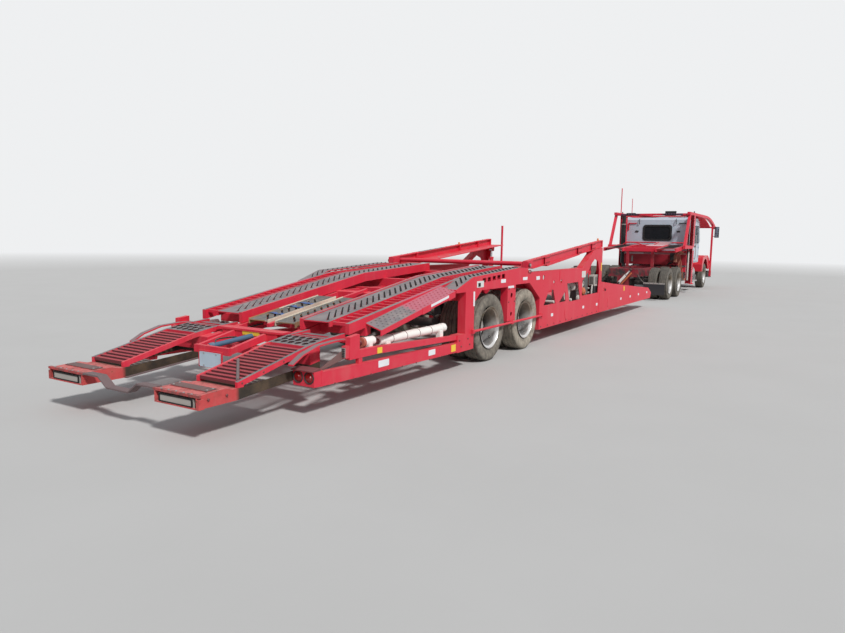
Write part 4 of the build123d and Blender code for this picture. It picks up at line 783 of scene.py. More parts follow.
def rim_barrel(at, reach, centre):
    """A rim of two mirrored halves: at each side a lip, then the bead seat, then the well between them."""
    half = [(0.291, reach), (0.282, reach - 0.012), (0.262, reach - 0.02), (0.252, reach - 0.05)]
    outside = [(r, at - y) for r, y in half] + [(r, at + y) for r, y in reversed(half)]
    inside = [(r - 0.008, y) for r, y in reversed(outside)]
    return turned(outside + inside, centre, "y", SIDES, closed=True)


def disc_dish(disc, depth, hub, centre):
    """The disc: a flat ring for the nuts, then a dish that runs out to the barrel."""
    face = [(hub - 0.004, disc), (0.185, disc), (0.200, disc - 0.010), (0.235, disc - depth),
            (0.253, disc - depth)]
    back = [(r, y - 0.012) for r, y in reversed(face)]
    return turned(face + back, centre, "y", SIDES, closed=True)


def cup(radius, y0, y1, centre, turns=32):
    """A short closed bar along Y."""
    return turned(capped([(radius, y0), (radius, y1)]), centre, "y", turns)


def twin(name, side, hub_out):
    """Two tyres and rims that turn as one, their dished sides facing each other, with hub and nuts outside.
    All is worked out for the left side, and a right one is turned over."""
    low, high = span(f"{name}_tyres")
    centre = np.array([middle(f"{name}_tyres")[0], 0.0, tyre_radius])
    outer = (high[1] if side > 0 else -low[1]) - TWIN_WIDE / 2
    inner = (low[1] if side > 0 else -high[1]) + TWIN_WIDE / 2
    treads, metal = Piece(), Piece()
    for place in (outer, inner):
        treads.add(tyre(place, TWIN_WIDE, centre))
        metal.add(rim_barrel(place, 0.121, centre))
    seam = (outer + inner) / 2
    hub = seam + hub_out
    metal.add(disc_dish(seam + 0.012, 0.0, 0.10, centre))
    metal.add(disc_dish(seam + 0.012, 0.006, 0.142, centre))
    metal.add(cup(0.142, seam - 0.03, seam + 0.035, centre))
    metal.add(cup(0.105, seam + 0.03, hub, centre))
    metal.add(cup(0.070, hub - 0.004, hub + 0.018, centre, 24))
    metal.add(nuts(NUT_CIRCLE, 10, seam + 0.010, seam + 0.046, 0.021, centre))
    metal.add(nuts(0.086, 8, hub - 0.002, hub + 0.010, 0.011, centre))
    # the hand holes are near-black discs: painted shade in the holes
    hole = turned([(TIP, 0.0015), (0.027, 0.0015), (0.031, 0.004), (0.033, 0.0)], (0, 0, 0), "y", 20)
    metal.add(moved(hole, circle(0.218, 10, seam + 0.006, centre, np.pi / 10)), 1)
    if side < 0:
        treads.turn_over()
        metal.turn_over()
    treads.build(f"{name}_treads", name, "tyre_rubber", ["tyre_rubber"], [f"{name}_tyres"], smooth=40)
    metal.build(f"{name}_wheels", name, "rim_metal", ["rim_metal", "slot_dark"], [f"{name}_rim"], smooth=32)


def steer(name, side):
    """The steered wheel: one tyre, its dished disc set outwards, hub cap and nuts."""
    low, high = span(f"{name}_tyre")
    centre = np.array([middle(f"{name}_tyre")[0], 0.0, tyre_radius])
    place = abs(low[1] + high[1]) / 2
    treads = Piece().add(tyre(place, high[1] - low[1], centre))
    metal = Piece().add(rim_barrel(place, 0.128, centre)).add(disc_dish(place + 0.052, 0.02, 0.10, centre))
    metal.add(cup(0.102, place + 0.03, place + 0.10, centre))
    metal.add(nuts(NUT_CIRCLE, 10, place + 0.050, place + 0.082, 0.021, centre))
    if side < 0:
        treads.turn_over()
        metal.turn_over()
    treads.build(f"{name}_tread", name, "tyre_rubber", ["tyre_rubber"], [f"{name}_tyre"], smooth=40)
    metal.build(f"{name}_wheel", name, "rim_metal", ["rim_metal"], [f"{name}_rim"], smooth=32)


for name in [n[:-6] for n in nodes if n.endswith("_tyres")]:
    twin(name, 1 if name.endswith("left") else -1, 0.115 if "trailer" in name else 0.135)
steer("steer_left", 1)
steer("steer_right", -1)

# %% [markdown]
# ## Small forms by the hundred
#
# Louvres, punched holes and bolts repeat along the steel. Each kind is one small grid of points worked out
# once, and a whole array of copies is made by adding the places to it. The copies then share one list of
# faces, shifted by a number.

# %% Lips, collars, bolts, plates and pipes
def many(grids, close_rows=False, close_columns=False, caps=False):
    """Many grids of one size, (copies, rows, columns, 3), as one surface. caps closes both end rows."""
    count, rows, columns = grids.shape[:3]
    quads = lattice(grids[0], close_rows, close_columns)[1][0]
    shift = rows * columns * np.arange(count)[:, None, None]
    faces = [(quads[None] + shift).reshape(-1, 4)]
    if caps:
        first = np.arange(columns)
        ends = np.stack([first[::-1], first + columns * (rows - 1)])
        faces.append((ends[None] + shift).reshape(-1, columns))
    return grids.reshape(-1, 3), faces


def ridges(start, stop, wide, high, stations=6, around=8):
    """Raised lips between pairs of points. Across a lip, height = high sin(pi v); along it the height fades
    to both ends as sin(pi u) to the power 0.3. Its sides follow the slope of the plate, rise over run. The
    faces come in three blocks: the front slope, the open rear side, and the ends."""
    u, v = np.linspace(0, 1, stations), np.linspace(0, 1, around)
    run = stop - start
    flat = run[:, :2] / np.linalg.norm(run[:, :2], axis=1, keepdims=True)
    slope = run[:, 2] / run[:, 0]
    back = np.sign(flat[:, 1])
    side = np.stack([-flat[:, 1], flat[:, 0], -slope * flat[:, 1]], -1) * back[:, None]
    rise = high * np.sin(np.pi * v)[None] * np.maximum(np.sin(np.pi * u), 0.02)[:, None] ** 0.3 - 0.001
    grids = start[:, None, None] + u[None, :, None, None] * run[:, None, None]
    grids = grids + ((v - 0.5) * wide)[None, None, :, None] * side[:, None, None]
    grids[..., 2] += rise[None]
    points, (quads, ends) = many(grids, close_columns=True, caps=True)
    ahead = np.tile(np.arange(around) < around // 2 - 1, len(start) * (stations - 1))
    return points, [quads[ahead], quads[~ahead], ends]


def collars(places, radius, high, inner, slope, turns=12, sunk=False):
    """Raised rings round holes: a section (share of radius, share of height) turned about an upright line,
    then z += slope_x x + slope_y y to lie on a tilted plate. A sunk one is a sleeve inside its hole."""
    section = [(1.0, -0.3), (0.9, 0.7), (0.5 + inner / 2, 1.0), (inner, 0.5), (inner, -0.3)]
    section = np.array([(1.0, 0.0), (inner, 0.0), (inner, 1.0), (1.0, 1.0)] if sunk else section)
    a = np.arange(turns) * 2 * np.pi / turns
    x, y = radius * np.outer(section[:, 0], np.cos(a)), radius * np.outer(section[:, 0], np.sin(a))
    z = np.outer(high * section[:, 1], np.ones(turns)) + slope[0] * x + slope[1] * y
    return many(places[:, None, None] + np.stack([x, y, z], -1), close_rows=True, close_columns=True)


def studs(places, radius, high, axis="y", out=1, sides=6):
    """Bolt heads: rings of radius r, r and 0.8 r at the heights 0, 0.75 h and h, with flat ends."""
    a = np.arange(sides) * 2 * np.pi / sides
    r, h = radius * np.array([1, 1, 0.8]), out * high * np.array([-0.2, 0.75, 1])
    head = np.stack([np.outer(r, np.cos(a)), np.outer(r, np.sin(a)), np.outer(h, np.ones(sides))], -1)
    return many(np.asarray(places)[:, None, None] + head[..., ORDER[axis]], close_columns=True, caps=True)


def rounded(wide, high, radius, steps=5):
    """A rectangle with round corners: at each corner a quarter circle, corner + r (cos t, sin t), turned by
    90 degrees from one corner to the next."""
    t = np.linspace(0, np.pi / 2, steps)
    quarter = radius * np.c_[np.cos(t), np.sin(t)]
    a, b = wide / 2 - radius, high / 2 - radius
    turns = [np.array([(c, s), (-s, c)]) for c, s in ((1, 0), (0, 1), (-1, 0), (0, -1))]
    corners = [(a, b), (-a, b), (-a, -b), (a, -b)]
    return np.concatenate([quarter @ turn + corner for turn, corner in zip(turns, corners)])


def slab(size, place, start, stop, axis="x", steps=5):
    """A flat plate of size (wide, high, corner radius) with its middle at a place."""
    return prism(rounded(*size, steps) + place, start, stop, axis)


def ring(outer, inner, start, stop, axis="x"):
    """A flat ring between two outlines of as many points: four rows, outer and inner at start and stop."""
    rows = [(outer, start), (outer, stop), (inner, stop), (inner, start)]
    grid = np.stack([np.c_[line, np.full(len(line), far)] for line, far in rows])
    return lattice(grid[..., ORDER[axis]], close_rows=True, close_columns=True)


def surround(size, hole, place, start, stop, steps=6):
    """A flat frame that looks along X: a plate with a smaller one of the same middle cut out."""
    return ring(rounded(*size, steps) + place, rounded(*hole, steps) + place, start, stop)


def bend(points, steps=8):
    """A smooth path through points p: between b and c, with neighbours a and d, it is the curve (2b + (c-a) t
    + (2a-5b+4c-d) t^2 + (3b-a-3c+d) t^3) / 2."""
    p = np.asarray(points, float)
    p = np.concatenate([[2 * p[0] - p[1]], p, [2 * p[-1] - p[-2]]])
    a, b, c, d = p[:-3, None], p[1:-2, None], p[2:-1, None], p[3:, None]
    t = np.linspace(0, 1, steps, endpoint=False)[None, :, None]
    path = (2 * b + (c - a) * t + (2 * a - 5 * b + 4 * c - d) * t**2 + (3 * b - a - 3 * c + d) * t**3) / 2
    return np.concatenate([path.reshape(-1, 3), p[-2][None]])


def pipe(points, radius, sides=8, steps=8):
    """A bent pipe: a tube along the smooth path, its rings squared to where the path spreads least."""
    path = bend(points, steps) if len(points) > 2 else np.asarray(points, float)
    up = np.eye(3)[np.argmin(np.ptp(path, axis=0))]
    return tube(path, radius, sides, up)


def hoop(inner, outer, far, half, centre, axis="x", turns=28):
    """A band about an axis: radii from inner to outer, distances from far - half to far + half."""
    section = [(inner, far - half), (outer, far - half), (outer, far + half), (inner, far + half)]
    return turned(section, centre, axis, turns, closed=True)


def round_bar(radius, start, stop, centre, axis="y", turns=20, edge=0.003):
    """A short closed bar with its edges broken."""
    step = edge if stop > start else -edge
    profile = [(radius - edge, start), (radius, start + step), (radius, stop - step), (radius - edge, stop)]
    return turned(capped(profile), centre, axis, turns)


def on(line, x):
    """Height of a line of (x, z) points at x."""
    return np.interp(x, line[:, 0], line[:, 1])


def strip(line, ends, top, bottom, start, stop):
    """A flat strip along a line, between two x: its outline is the line + top, then the line + bottom."""
    x = np.array(ends)
    line = np.c_[rear_axle + x, on(line, x)]
    return prism(np.concatenate([line + (0, top), (line + (0, bottom))[::-1]]), start, stop)


def at(x, y, z, origin=rear_axle):
    """Points whose x is counted from the rear trailer axle, or from another origin."""
    return np.stack(np.broadcast_arrays(origin + np.asarray(x, float), y, z), -1)


def aft(*points):
    """The same for points that come one by one."""
    return np.array(points, float) + (rear_axle, 0, 0)


def fore(*points):
    """Points whose x is counted from the hitch."""
    return np.array(points, float) + (hitch, 0, 0)


print("helpers ready")

# %% [markdown]
# ## Louvres and punched holes of the tracks
#
# The running plates are pressed: each slanting slot has a lip that bites the tyre, and the side panels have
# rows of punched dimples. On the truck the slots of both tracks lean the same way, so the far track isn't a
# mirror image.

# %% Track lips and dimples
TRACK_LINE = np.array([(-2.920, 0.793), (-0.600, 1.160), (1.180, 1.262)])  # x from the rear axle, height
ARCH_LINE = np.array([(-1.050, 1.042), (-0.600, 1.182), (0.900, 1.262), (1.200, 1.252)])
PANEL_LINE = np.array([(-2.640, 0.714), (-1.056, 1.026)])
LADDER_LINE = np.array([(-4.350, 0.440), (-3.480, 0.630), (-3.210, 0.668)])
PITCH = 0.115
SLOT_WIDE = 0.036
LIP_SHIFT = 0.014  # a lip stands over the front part of its slot
LIP_WIDE = 0.034
LIP_HIGH = 0.013
PANEL_EDGES = (1.090, 1.290)
PANEL_TILT = 0.060


def slot_lips(line, first, last, near, far, run, side):
    """One lip along the front edge of each slot. The slots run forward to the left side of the truck."""
    lean = side * run
    last = last - SLOT_WIDE - max(0, lean) + 1e-6
    x = np.arange(first + max(0, -lean), last, PITCH) + SLOT_WIDE / 2 + LIP_SHIFT
    start = at(x, side * near, on(line, x))
    return ridges(start, at(x + lean, side * far, on(line, x + lean)), LIP_WIDE, LIP_HIGH)


def punched(side):
    """Dimples of a side panel in four staggered rows, on the tilted plate."""
    x, row = np.meshgrid(np.arange(-2.585, -1.10, 0.074), np.arange(4))
    x = x + 0.037 * (row % 2)
    y = PANEL_EDGES[0] + 0.035 + 0.043 * row
    z = on(PANEL_LINE, x) + PANEL_TILT * (PANEL_EDGES[1] - y) / (PANEL_EDGES[1] - PANEL_EDGES[0])
    return at(x, side * y, z).reshape(-1, 3)


def plate_holes(side):
    """Places of the big holes in the plate ahead of a tail ladder."""
    row, column = np.meshgrid(np.arange(3), np.arange(5), indexing="ij")
    x = -3.425 + 0.080 * row
    y = 0.595 + 0.090 * column + 0.020 * (row % 2)
    return at(x, side * y, on(LADDER_LINE, x)).reshape(-1, 3)


def steepness(line):
    """Rise over run of the last stretch of a line."""
    return (line[-1, 1] - line[-2, 1]) / (line[-1, 0] - line[-2, 0])


# the lips' open rear sides and ends, the dimples' middles, the inner rings of the hole collars and the sleeves
# in the holes are near black: painted shade
lips = Piece()
for side in (1, -1):
    lips.add(slot_lips(TRACK_LINE, -2.880, 1.180, 0.565, 0.765, 0.270, side), [0, 2, 2])
    lips.add(slot_lips(ARCH_LINE, -0.960, 1.180, 1.126, 1.249, 0.170, side), [0, 2, 2])
    tilt = steepness(PANEL_LINE), -side * PANEL_TILT / (PANEL_EDGES[1] - PANEL_EDGES[0])
    dimples = punched(side)
    grey = dimples[:, 0] < rear_axle - 1.95
    lips.add(collars(dimples[grey], 0.0150, 0.005, 0.55, tilt, 10))
    lips.add(collars(dimples[~grey], 0.0150, 0.005, 0.55, tilt, 10), 1)
    lips.add(collars(dimples, 0.0082, 0.0008, 0.05, tilt, 10), 2)
    holes, tilt = plate_holes(side), (steepness(LADDER_LINE), 0)
    lips.add(collars(holes, 0.0410, 0.006, 0.80, tilt, 14))
    lips.add(collars(holes, 0.0340, 0.007, 0.74, tilt, 14), 2)
    lips.add(collars(holes - (0.0, 0.0, 0.001), 0.0262, -0.046, 0.86, tilt, 14, sunk=True), 2)
lips.build("track_lips", "trailer", "deck_steel", ["deck_grip", "pink_grip", "slot_dark"], smooth=50)

# %% [markdown]
# ## Girders: reflectors, labels, seams and bolts
#
# A long girder is several plates welded end to end. It carries small silver reflectors along its lower edge
# and a few blank labels. All of them are thin plates that stand a few millimetres proud, so they are outlines
# drawn out along Y.

# %% Girder trim
GIRDER_FACE = 1.295
WHITE_TAGS = [  # x from the rear axle, height of the middle, length, height
    *((x, z, 0.10, 0.050) for x, z in ((2.30, 0.44), (3.05, 0.44), (3.95, 0.44), (4.80, 0.43), (6.60, 0.42),
                                       (7.40, 0.42), (8.20, 0.42), (9.05, 0.42))),
    (0.32, 1.092, 0.16, 0.050), (1.10, 1.095, 0.17, 0.045), (1.62, 1.082, 0.14, 0.055),
    (-0.57, 0.900, 0.040, 0.190), (0.59, 0.995, 0.200, 0.032),
]
LABELS = [(-0.40, 1.082, 0.20, 0.085), (3.90, 1.060, 0.22, 0.120)]
DARK_SPOTS = [(5.35, 0.688, 0.075, 0.050), (-0.43, 1.075, 0.070, 0.050)]
YELLOW_TAGS = [(5.00, 1.17, 0.045, 0.16), (6.83, 0.635, 0.075, 0.100)]


def tags(piece, rows, face, finish):
    """Thin plates on both side faces, one pair for each row of x, height, length and height of the plate."""
    for x, z, wide, high in rows:
        piece.both(slab((wide, high, 0.006), (rear_axle + x, z), face - 0.002, face + 0.003, "y", 3), finish)


def doubler(x0, x1, z0, z1):
    """A repair plate over the lower girder: straight edges and a half round at its rear end."""
    radius, a = (z1 - z0) / 2, np.radians(np.linspace(90, 270, 14))
    arc = np.c_[x0 + radius + radius * np.cos(a), (z0 + z1) / 2 + radius * np.sin(a)]
    outline = np.concatenate([arc, [(x1, z0), (x1, z1)]]) + (rear_axle, 0)
    return prism(outline, GIRDER_FACE - 0.002, GIRDER_FACE + 0.004)


trim = Piece()
tags(trim, WHITE_TAGS, GIRDER_FACE, 1)
tags(trim, LABELS, GIRDER_FACE, 2)
tags(trim, YELLOW_TAGS, GIRDER_FACE, 3)
tags(trim, DARK_SPOTS, GIRDER_FACE + 0.0015, 6)
for x0, x1 in ((2.92, 3.62), (5.56, 6.20)):
    trim.both(doubler(x0, x1, 0.275, 0.555))
for x, z0, z1 in ((4.95, 0.27, 0.66), (2.60, 0.99, 1.17), (3.90, 0.96, 1.17), (7.35, 0.27, 0.66)):
    trim.both(pipe(at(x, GIRDER_FACE, np.linspace(z0, z1, 9)), 0.004, 6, 2))
sixth = np.arange(6) * np.pi / 3
bolts = np.concatenate([
    at([-0.95, -0.90, -0.72, -0.67], GIRDER_FACE, [0.40, 0.32, 0.40, 0.32]),
    at([0.52, 0.72, 0.52, 0.72], GIRDER_FACE, [0.97, 0.97, 0.78, 0.78]),
    at(1.27 + 0.055 * np.cos(sixth), GIRDER_FACE, 1.19 + 0.022 * np.sin(sixth)),
    at(np.linspace(1.80, 4.8, 11), GIRDER_FACE, 0.290),
])
trim.both(studs(bolts, 0.012, 0.009), 4)
for radius, out, finish in ((0.034, 0.010, 4), (0.020, 0.018, 5)):
    trim.both(round_bar(radius, GIRDER_FACE - 0.012, GIRDER_FACE + out, (rear_axle + 1.27, 0, 1.29)), finish)
trim.build("girder_trim", "trailer", "red_paint",
           ["side_paint", "silver_tag", "pale_label", "yellow_label", "worn_bolt", "bare_steel", "slot_dark"],
           smooth=40)

# %% [markdown]
# ## Tail: lamps, blank plate, rails and the lid strips
#
# Two round lamps sit in rubber rings in each lamp box. A lens is a stepped dome, so its profile of radius and
# depth is turned about the direction in which it looks. The plate is blank, with a rolled rim and four
# screws.

# %% Tail lamps and plate
LENS_PROFILE = [(TIP, -0.011), (0.019, -0.0105), (0.021, -0.0075), (0.034, -0.0065), (0.036, -0.0030),
                (0.046, -0.0010), (0.0495, 0.004), (0.0495, 0.020), (TIP, 0.020)]
RUBBER_PROFILE = [(0.049, -0.003), (0.052, -0.007), (0.058, -0.005), (0.060, 0.001), (0.049, 0.003)]
lamps = Piece()
for y in (1.102, 1.233):
    place = (rear_axle - 3.690, y, 0.388)
    lamps.both(turned(LENS_PROFILE, place, "x", 32))
    lamps.both(turned(RUBBER_PROFILE, place, "x", 32, closed=True), 1)
lamps.build("tail_lenses", "trailer", "lamp_red", ["lamp_red", "black_plastic"], ["tail_lamps"], smooth=30)

PLATE_X = rear_axle - 3.752
PLATE_Z = 0.430
PLATE_SIZE = (0.305, 0.152, 0.014)
plate = Piece()
plate.add(slab(PLATE_SIZE, (0, PLATE_Z), PLATE_X - 0.0022, PLATE_X + 0.0002))
plate.add(surround(PLATE_SIZE, (0.289, 0.136, 0.009), (0, PLATE_Z), PLATE_X - 0.0040, PLATE_X - 0.001, 5))
screws = [(PLATE_X - 0.002, y, PLATE_Z + z) for y in (-0.0889, 0.0889) for z in (-0.0603, 0.0603)]
plate.add(studs(screws, 0.008, 0.005, "x", -1, 12), 1)
plate.build("blank_plate", "trailer", "white_paint", ["blank_white", "bare_steel"])

# %% Lower rails and the white cylinders
CYLINDER = (1.1707, 0.580)  # y and z of its middle line
STUB = (1.1707, 0.600)
CAP = capped([(0.046, -0.006), (0.053, 0.0), (0.053, 0.030), (0.049, 0.034)])
low = Piece()
tags(low, [(-2.60, 0.368, 0.190, 0.070), (-1.62, 0.345, 0.150, 0.065)], GIRDER_FACE, 1)
tags(low, [(-1.10, 0.326, 0.110, 0.085)], GIRDER_FACE, 2)
tags(low, [(-2.66, 0.510, 0.085, 0.062)], 1.285, 2)
for x in (-2.30, -2.03, -1.76, -1.49):
    low.both(hoop(0.0495, 0.0515, 0, 0.004, (rear_axle + x, *CYLINDER), "x", 32), 3)
low.both(turned(CAP, (rear_axle - 1.175, *CYLINDER), "x", 32), 4)
low.both(turned([(r, -d) for r, d in CAP], (rear_axle - 2.505, *CYLINDER), "x", 32), 4)
low.both(round_bar(0.030, -0.060, 0.010, (rear_axle - 2.54, *CYLINDER), "x", 24), 3)
low.both(turned([(r * 1.02, -d) for r, d in CAP], (rear_axle - 2.800, *STUB), "x", 32), 5)
low.both(round_bar(0.022, -0.030, 0.010, (rear_axle - 2.830, *STUB), "x", 16), 3)
bolt_x = np.linspace(-3.40, -1.10, 9)
low.both(studs(at(bolt_x, GIRDER_FACE, 0.300 - 0.0155 * (bolt_x + 3.59)), 0.010, 0.007), 3)
low.both(strip(PANEL_LINE, (-1.650, -1.155), -0.004, -0.034, 1.289, 1.2925), 1)
low.build("rail_trim", "trailer", "red_paint",
          ["side_paint", "silver_tag", "yellow_label", "worn_bolt", "white_pipe", "end_rust"], smooth=40)

# %% [markdown]
# ## Between the tracks: worn skid edges, straps and hoses
#
# Two long skids lie between the rear tracks on the cross arms. Their edges are worn to bare tan, and webbing
# holds them down. Webbing is a flat band, so its path is walked with two points of its width and given a
# thickness.

# %% Skid lips, strap ends and tail lines
SKID_LINE = np.array([(-2.900, 0.713), (-1.720, 0.903)])
STRAP = np.array([(0.062, 0.011), (0.10, 0.022), (0.18, 0.017), (0.25, 0.023), (0.31, 0.018), (0.338, 0.011)])


def band(path, wide, thick):
    """Flat webbing: at each point of the path p +- wide / 2 along X, and the same plus thick upwards."""
    across = np.array([wide / 2, 0, 0])
    over = np.cross(np.gradient(path, axis=0), (1, 0, 0))
    over *= np.where(over[:, 2:] < 0, -thick, thick) / np.linalg.norm(over, axis=1, keepdims=True)
    grid = np.stack([path - across, path + across, path + across + over, path - across + over], axis=1)
    points, faces = lattice(grid, close_columns=True)
    first = np.arange(4)[None]
    return points, faces + [first[:, ::-1], first + 4 * (len(path) - 1)]


bay = Piece()
# the skid lips' open rear sides and ends are near black: painted shade
for middle_y in (-0.2, 0.2):
    first = np.arange(-2.86, -1.96, PITCH) + SLOT_WIDE / 2 + LIP_SHIFT
    start = at(first, middle_y - 0.085, on(SKID_LINE, first))
    stop = at(first + 0.170, middle_y + 0.085, on(SKID_LINE, first + 0.170))
    bay.add(ridges(start, stop, 0.7 * LIP_WIDE, 0.7 * LIP_HIGH), [3, 4, 4])
for x in (-2.62, -2.30, -2.12):
    y, lift = STRAP.T
    bay.add(band(bend(at(x + 0.15 * y, y, on(SKID_LINE, x + 0.15 * y) + lift), 5), 0.11, 0.003))
rail_line = np.array([(-2.95, 0.785025), (-1.15, 1.072125)])
bay.add(strip(rail_line, (-2.95, -1.15), -0.072, -0.110, -0.022, 0.022), 6)
bay.add(slab((0.250, 0.044, 0.004), (-0.028, 0.6405), rear_axle - 3.2335, rear_axle - 3.2285, "x", 3), 1)
for y in (-0.40, 0.385, 0.41):
    path = aft((-3.05, y * 0.9, 0.600), (-2.8, y, 0.640), (-2.0, y, 0.700), (-1.2, y, 0.760),
               (-0.7, y * 1.05, 0.800))
    bay.add(pipe(path, 0.009, 8, 6), 2)
bay.add(tube(bend(aft((-3.69, 0.085, 0.549), (-3.64, 0.071, 0.556)), 2), 0.034, 16), 5)
hose = aft((-3.60, 0.095, 0.575), (-3.55, 0.13, 0.60), (-3.40, 0.15, 0.600), (-3.26, 0.16, 0.590))
bay.add(pipe(hose, 0.008), 2)
bay.build("bay_trim", "trailer", "machinery",
          ["strap_blue", "yellow_label", "hose_black", "deck_grip", "slot_dark", "ram_blue", "red_paint"],
          smooth=40)

# %% [markdown]
# ## Tail ends: lids, hooks and skid noses
#
# The end boxes are scraped by every car that is driven on. Their lids are loose flat plates with hooks, and
# the noses of the short skids show in the slots. A nose is a ring with a plate set back in it: the ring is
# near black, painted shade of the slot round the grey nose.

# %% Box lids and noses
END_X = -4.770
BOX = (0.770, 0.337)  # y and z of the middle of an end box
ends = Piece()
end = rear_axle + END_X
ends.both(slab((0.39, 0.062, 0.006), (BOX[0], 0.3365), end + 0.003, end + 0.012, "x", 3), 4)
# the near-black ring round the nose is painted shade of the slot
ends.both(surround((0.41, 0.070, 0.008), (0.38, 0.048, 0.006), BOX, end, end + 0.014, 3), 1)
ends.both(studs(at(END_X + 0.014, np.linspace(0.585, 0.955, 5), 0.408), 0.009, 0.007, "z", 1, 8), 2)
lid_bolts = at([-4.62, -4.56, -4.62, -4.56], [0.565, 0.565, 0.975, 0.975], 0.4155)
ends.both(studs(lid_bolts, 0.010, 0.007, "z", 1, 8), 2)
for x in (END_X + 0.11, END_X + 0.30):
    ends.both(round_bar(0.012, 0.0, 0.012, at(x, 1.03, 0.355), "y", 12), 3)
bolt_x = np.array([-4.30, -4.05, -3.80, -3.55])
ends.both(studs(at(bolt_x, 1.03, on(LADDER_LINE, bolt_x) - 0.025), 0.009, 0.006), 3)
bolt_x = np.array([-3.46, -3.46, -3.23, -3.23])
ends.both(studs(at(bolt_x, [0.56, 0.99, 0.56, 0.99], on(LADDER_LINE, bolt_x)), 0.010, 0.006, "z"), 2)
ends.both(bars(at(-3.222, 1.232, 0.508), at(-3.213, 1.276, 0.604)))
slat_z = np.linspace(0.516, 0.588, 5)
ends.both(bars(at(-3.227, 1.236, slat_z), at(-3.221, 1.272, slat_z + 0.007)), 1)
ends.build("tail_trim", "trailer", "deck_steel",
           ["grey_box", "slot_dark", "worn_edge", "worn_bolt", "nose_grey"], smooth=40)

# %% [markdown]
# ## Power unit behind the right girder
#
# The engine and its pump are packed as plain blocks, because they sit deep behind the openings. What can be
# seen there is added: cooling ribs, a pulley with its belt, an air filter, a louvred box, a tank with straps
# and a few hoses.

# %% Power unit
FACE_Y = -1.160
TANK = (rear_axle + 3.4, -1.05, 0.72)
FILTER = (rear_axle + 4.08, -1.06, 1.105)
CANISTER = (rear_axle, -1.150, 0.835)
unit = Piece()


def slats(x0, x1, y0, y1, z):
    """Flat bars one above another, 10 mm thick, one from each height in z."""
    return bars(at(x0, y0, z), at(x1, y1, z + 0.010))


unit.add(slats(3.93, 4.18, FACE_Y - 0.008, FACE_Y + 0.004, np.arange(0.42, 1.04, 0.034)))
pulley = [(TIP, 0.0), (0.030, 0.0), (0.032, -0.010), (0.075, -0.012), (0.095, -0.004), (0.088, 0.002),
          (TIP, 0.008)]
unit.add(turned(pulley, (rear_axle + 4.42, FACE_Y, 0.62), "y", 32), 1)
unit.add(turned([(0.6 * r, y) for r, y in pulley], (rear_axle + 4.30, FACE_Y, 0.86), "y", 24), 1)
belt = [(4.337, 0.70), (4.36, 0.875), (4.30, 0.917), (4.244, 0.86), (4.33, 0.63), (4.42, 0.532),
        (4.512, 0.62)]
unit.add(pipe(aft(*((x, FACE_Y - 0.004, z) for x, z in belt + belt[:1])), 0.006, 6, 5), 2)
can = [(TIP, -0.13), (0.060, -0.13), (0.068, -0.12), (0.068, 0.10), (0.060, 0.115), (0.030, 0.12),
       (TIP, 0.12)]
unit.add(turned(can, FILTER, "x", 28), 3)
unit.add(hoop(0.070, 0.073, -0.08, 0.01, FILTER), 4)
unit.add(slab((0.26, 0.16, 0.02), (rear_axle + 4.45, 1.115), -1.15, -0.95, "y"), 5)
unit.add(slats(4.35, 4.55, -1.158, -1.146, np.arange(1.055, 1.175, 0.022)), 4)
for y in (-0.08, 0.08):
    unit.add(hoop(0.170, 0.175, y, 0.015, TANK, "y", 40), 1)
unit.add(turned(capped([(0.034, 0.185), (0.040, 0.195), (0.040, 0.215), (0.034, 0.223)]), TANK, "z", 20), 6)
unit.add(turned(capped([(0.026, 0.164), (0.026, 0.187)]), TANK, "z", 16), 1)
for k in range(4):
    y = -1.14 + 0.03 * k
    path = aft((3.92, y, 0.95 - 0.05 * k), (3.80, y - 0.01, 1.00 - 0.04 * k), (3.68, y, 0.86 - 0.05 * k),
               (3.57, y, 0.80))
    unit.add(pipe(path, 0.010, 8, 6), 2)
    unit.add(round_bar(0.016, 0.0, -0.030, at(4.61, -1.158, 0.50 + 0.085 * k), "y", 12), 3)
canister = [(TIP, 3.62), (0.065, 3.625), (0.080, 3.645), (0.080, 4.10), (0.065, 4.12), (TIP, 4.125)]
unit.add(turned(canister, CANISTER, "x", 32), 3)
for x in (3.72, 4.02):
    unit.add(hoop(0.079, 0.083, x, 0.012, CANISTER, "x", 32), 4)
unit.add(round_bar(0.070, -1.215, -1.09, at(3.985, 0.0, 0.590), "y", 28, 0.012), 3)
housing = [(TIP, -0.062), (0.030, -0.062), (0.038, -0.050), (0.066, -0.046), (0.078, -0.030), (0.078, 0.004),
           (TIP, 0.006)]
unit.add(turned(housing, (rear_axle + 4.225, -1.172, 0.715), "y", 32), 7)
housing_bolts = at(4.225 + 0.058 * np.cos(sixth), -1.217, 0.715 + 0.058 * np.sin(sixth))
unit.add(studs(housing_bolts, 0.009, 0.006, "y", -1), 1)
unit.add(slab((0.320, 0.440, 0.020), (rear_axle + 4.850, 0.575), -1.255, -1.160, "y"), 4)
unit.add(slab((0.400, 0.220, 0.030), (rear_axle + 4.860, 0.905), -1.264, -1.158, "y"), 8)
louvre_z = np.linspace(0.845, 0.965, 6)
unit.add(slats(4.656, 4.661, -1.248, -1.174, louvre_z), 4)
unit.add(slats(4.72, 5.00, -1.268, -1.262, louvre_z), 4)
path = aft((4.668, -1.225, 0.36), (4.655, -1.225, 0.50), (4.648, -1.225, 0.70), (4.668, -1.225, 0.82))
unit.add(pipe(path, 0.016, 10, 6), 3)
for x, z in ((2.42, 0.646), (3.30, 0.622)):
    unit.add(round_bar(0.026, -1.280, -1.10, at(x, 0.0, z), "y", 18), 3)
unit.build("power_details", "trailer", "machinery",
           ["oily_iron", "bare_steel", "hose_black", "dull_white", "black_plastic", "grey_box", "orange_cap",
            "rust_orange", "nose_grey"])

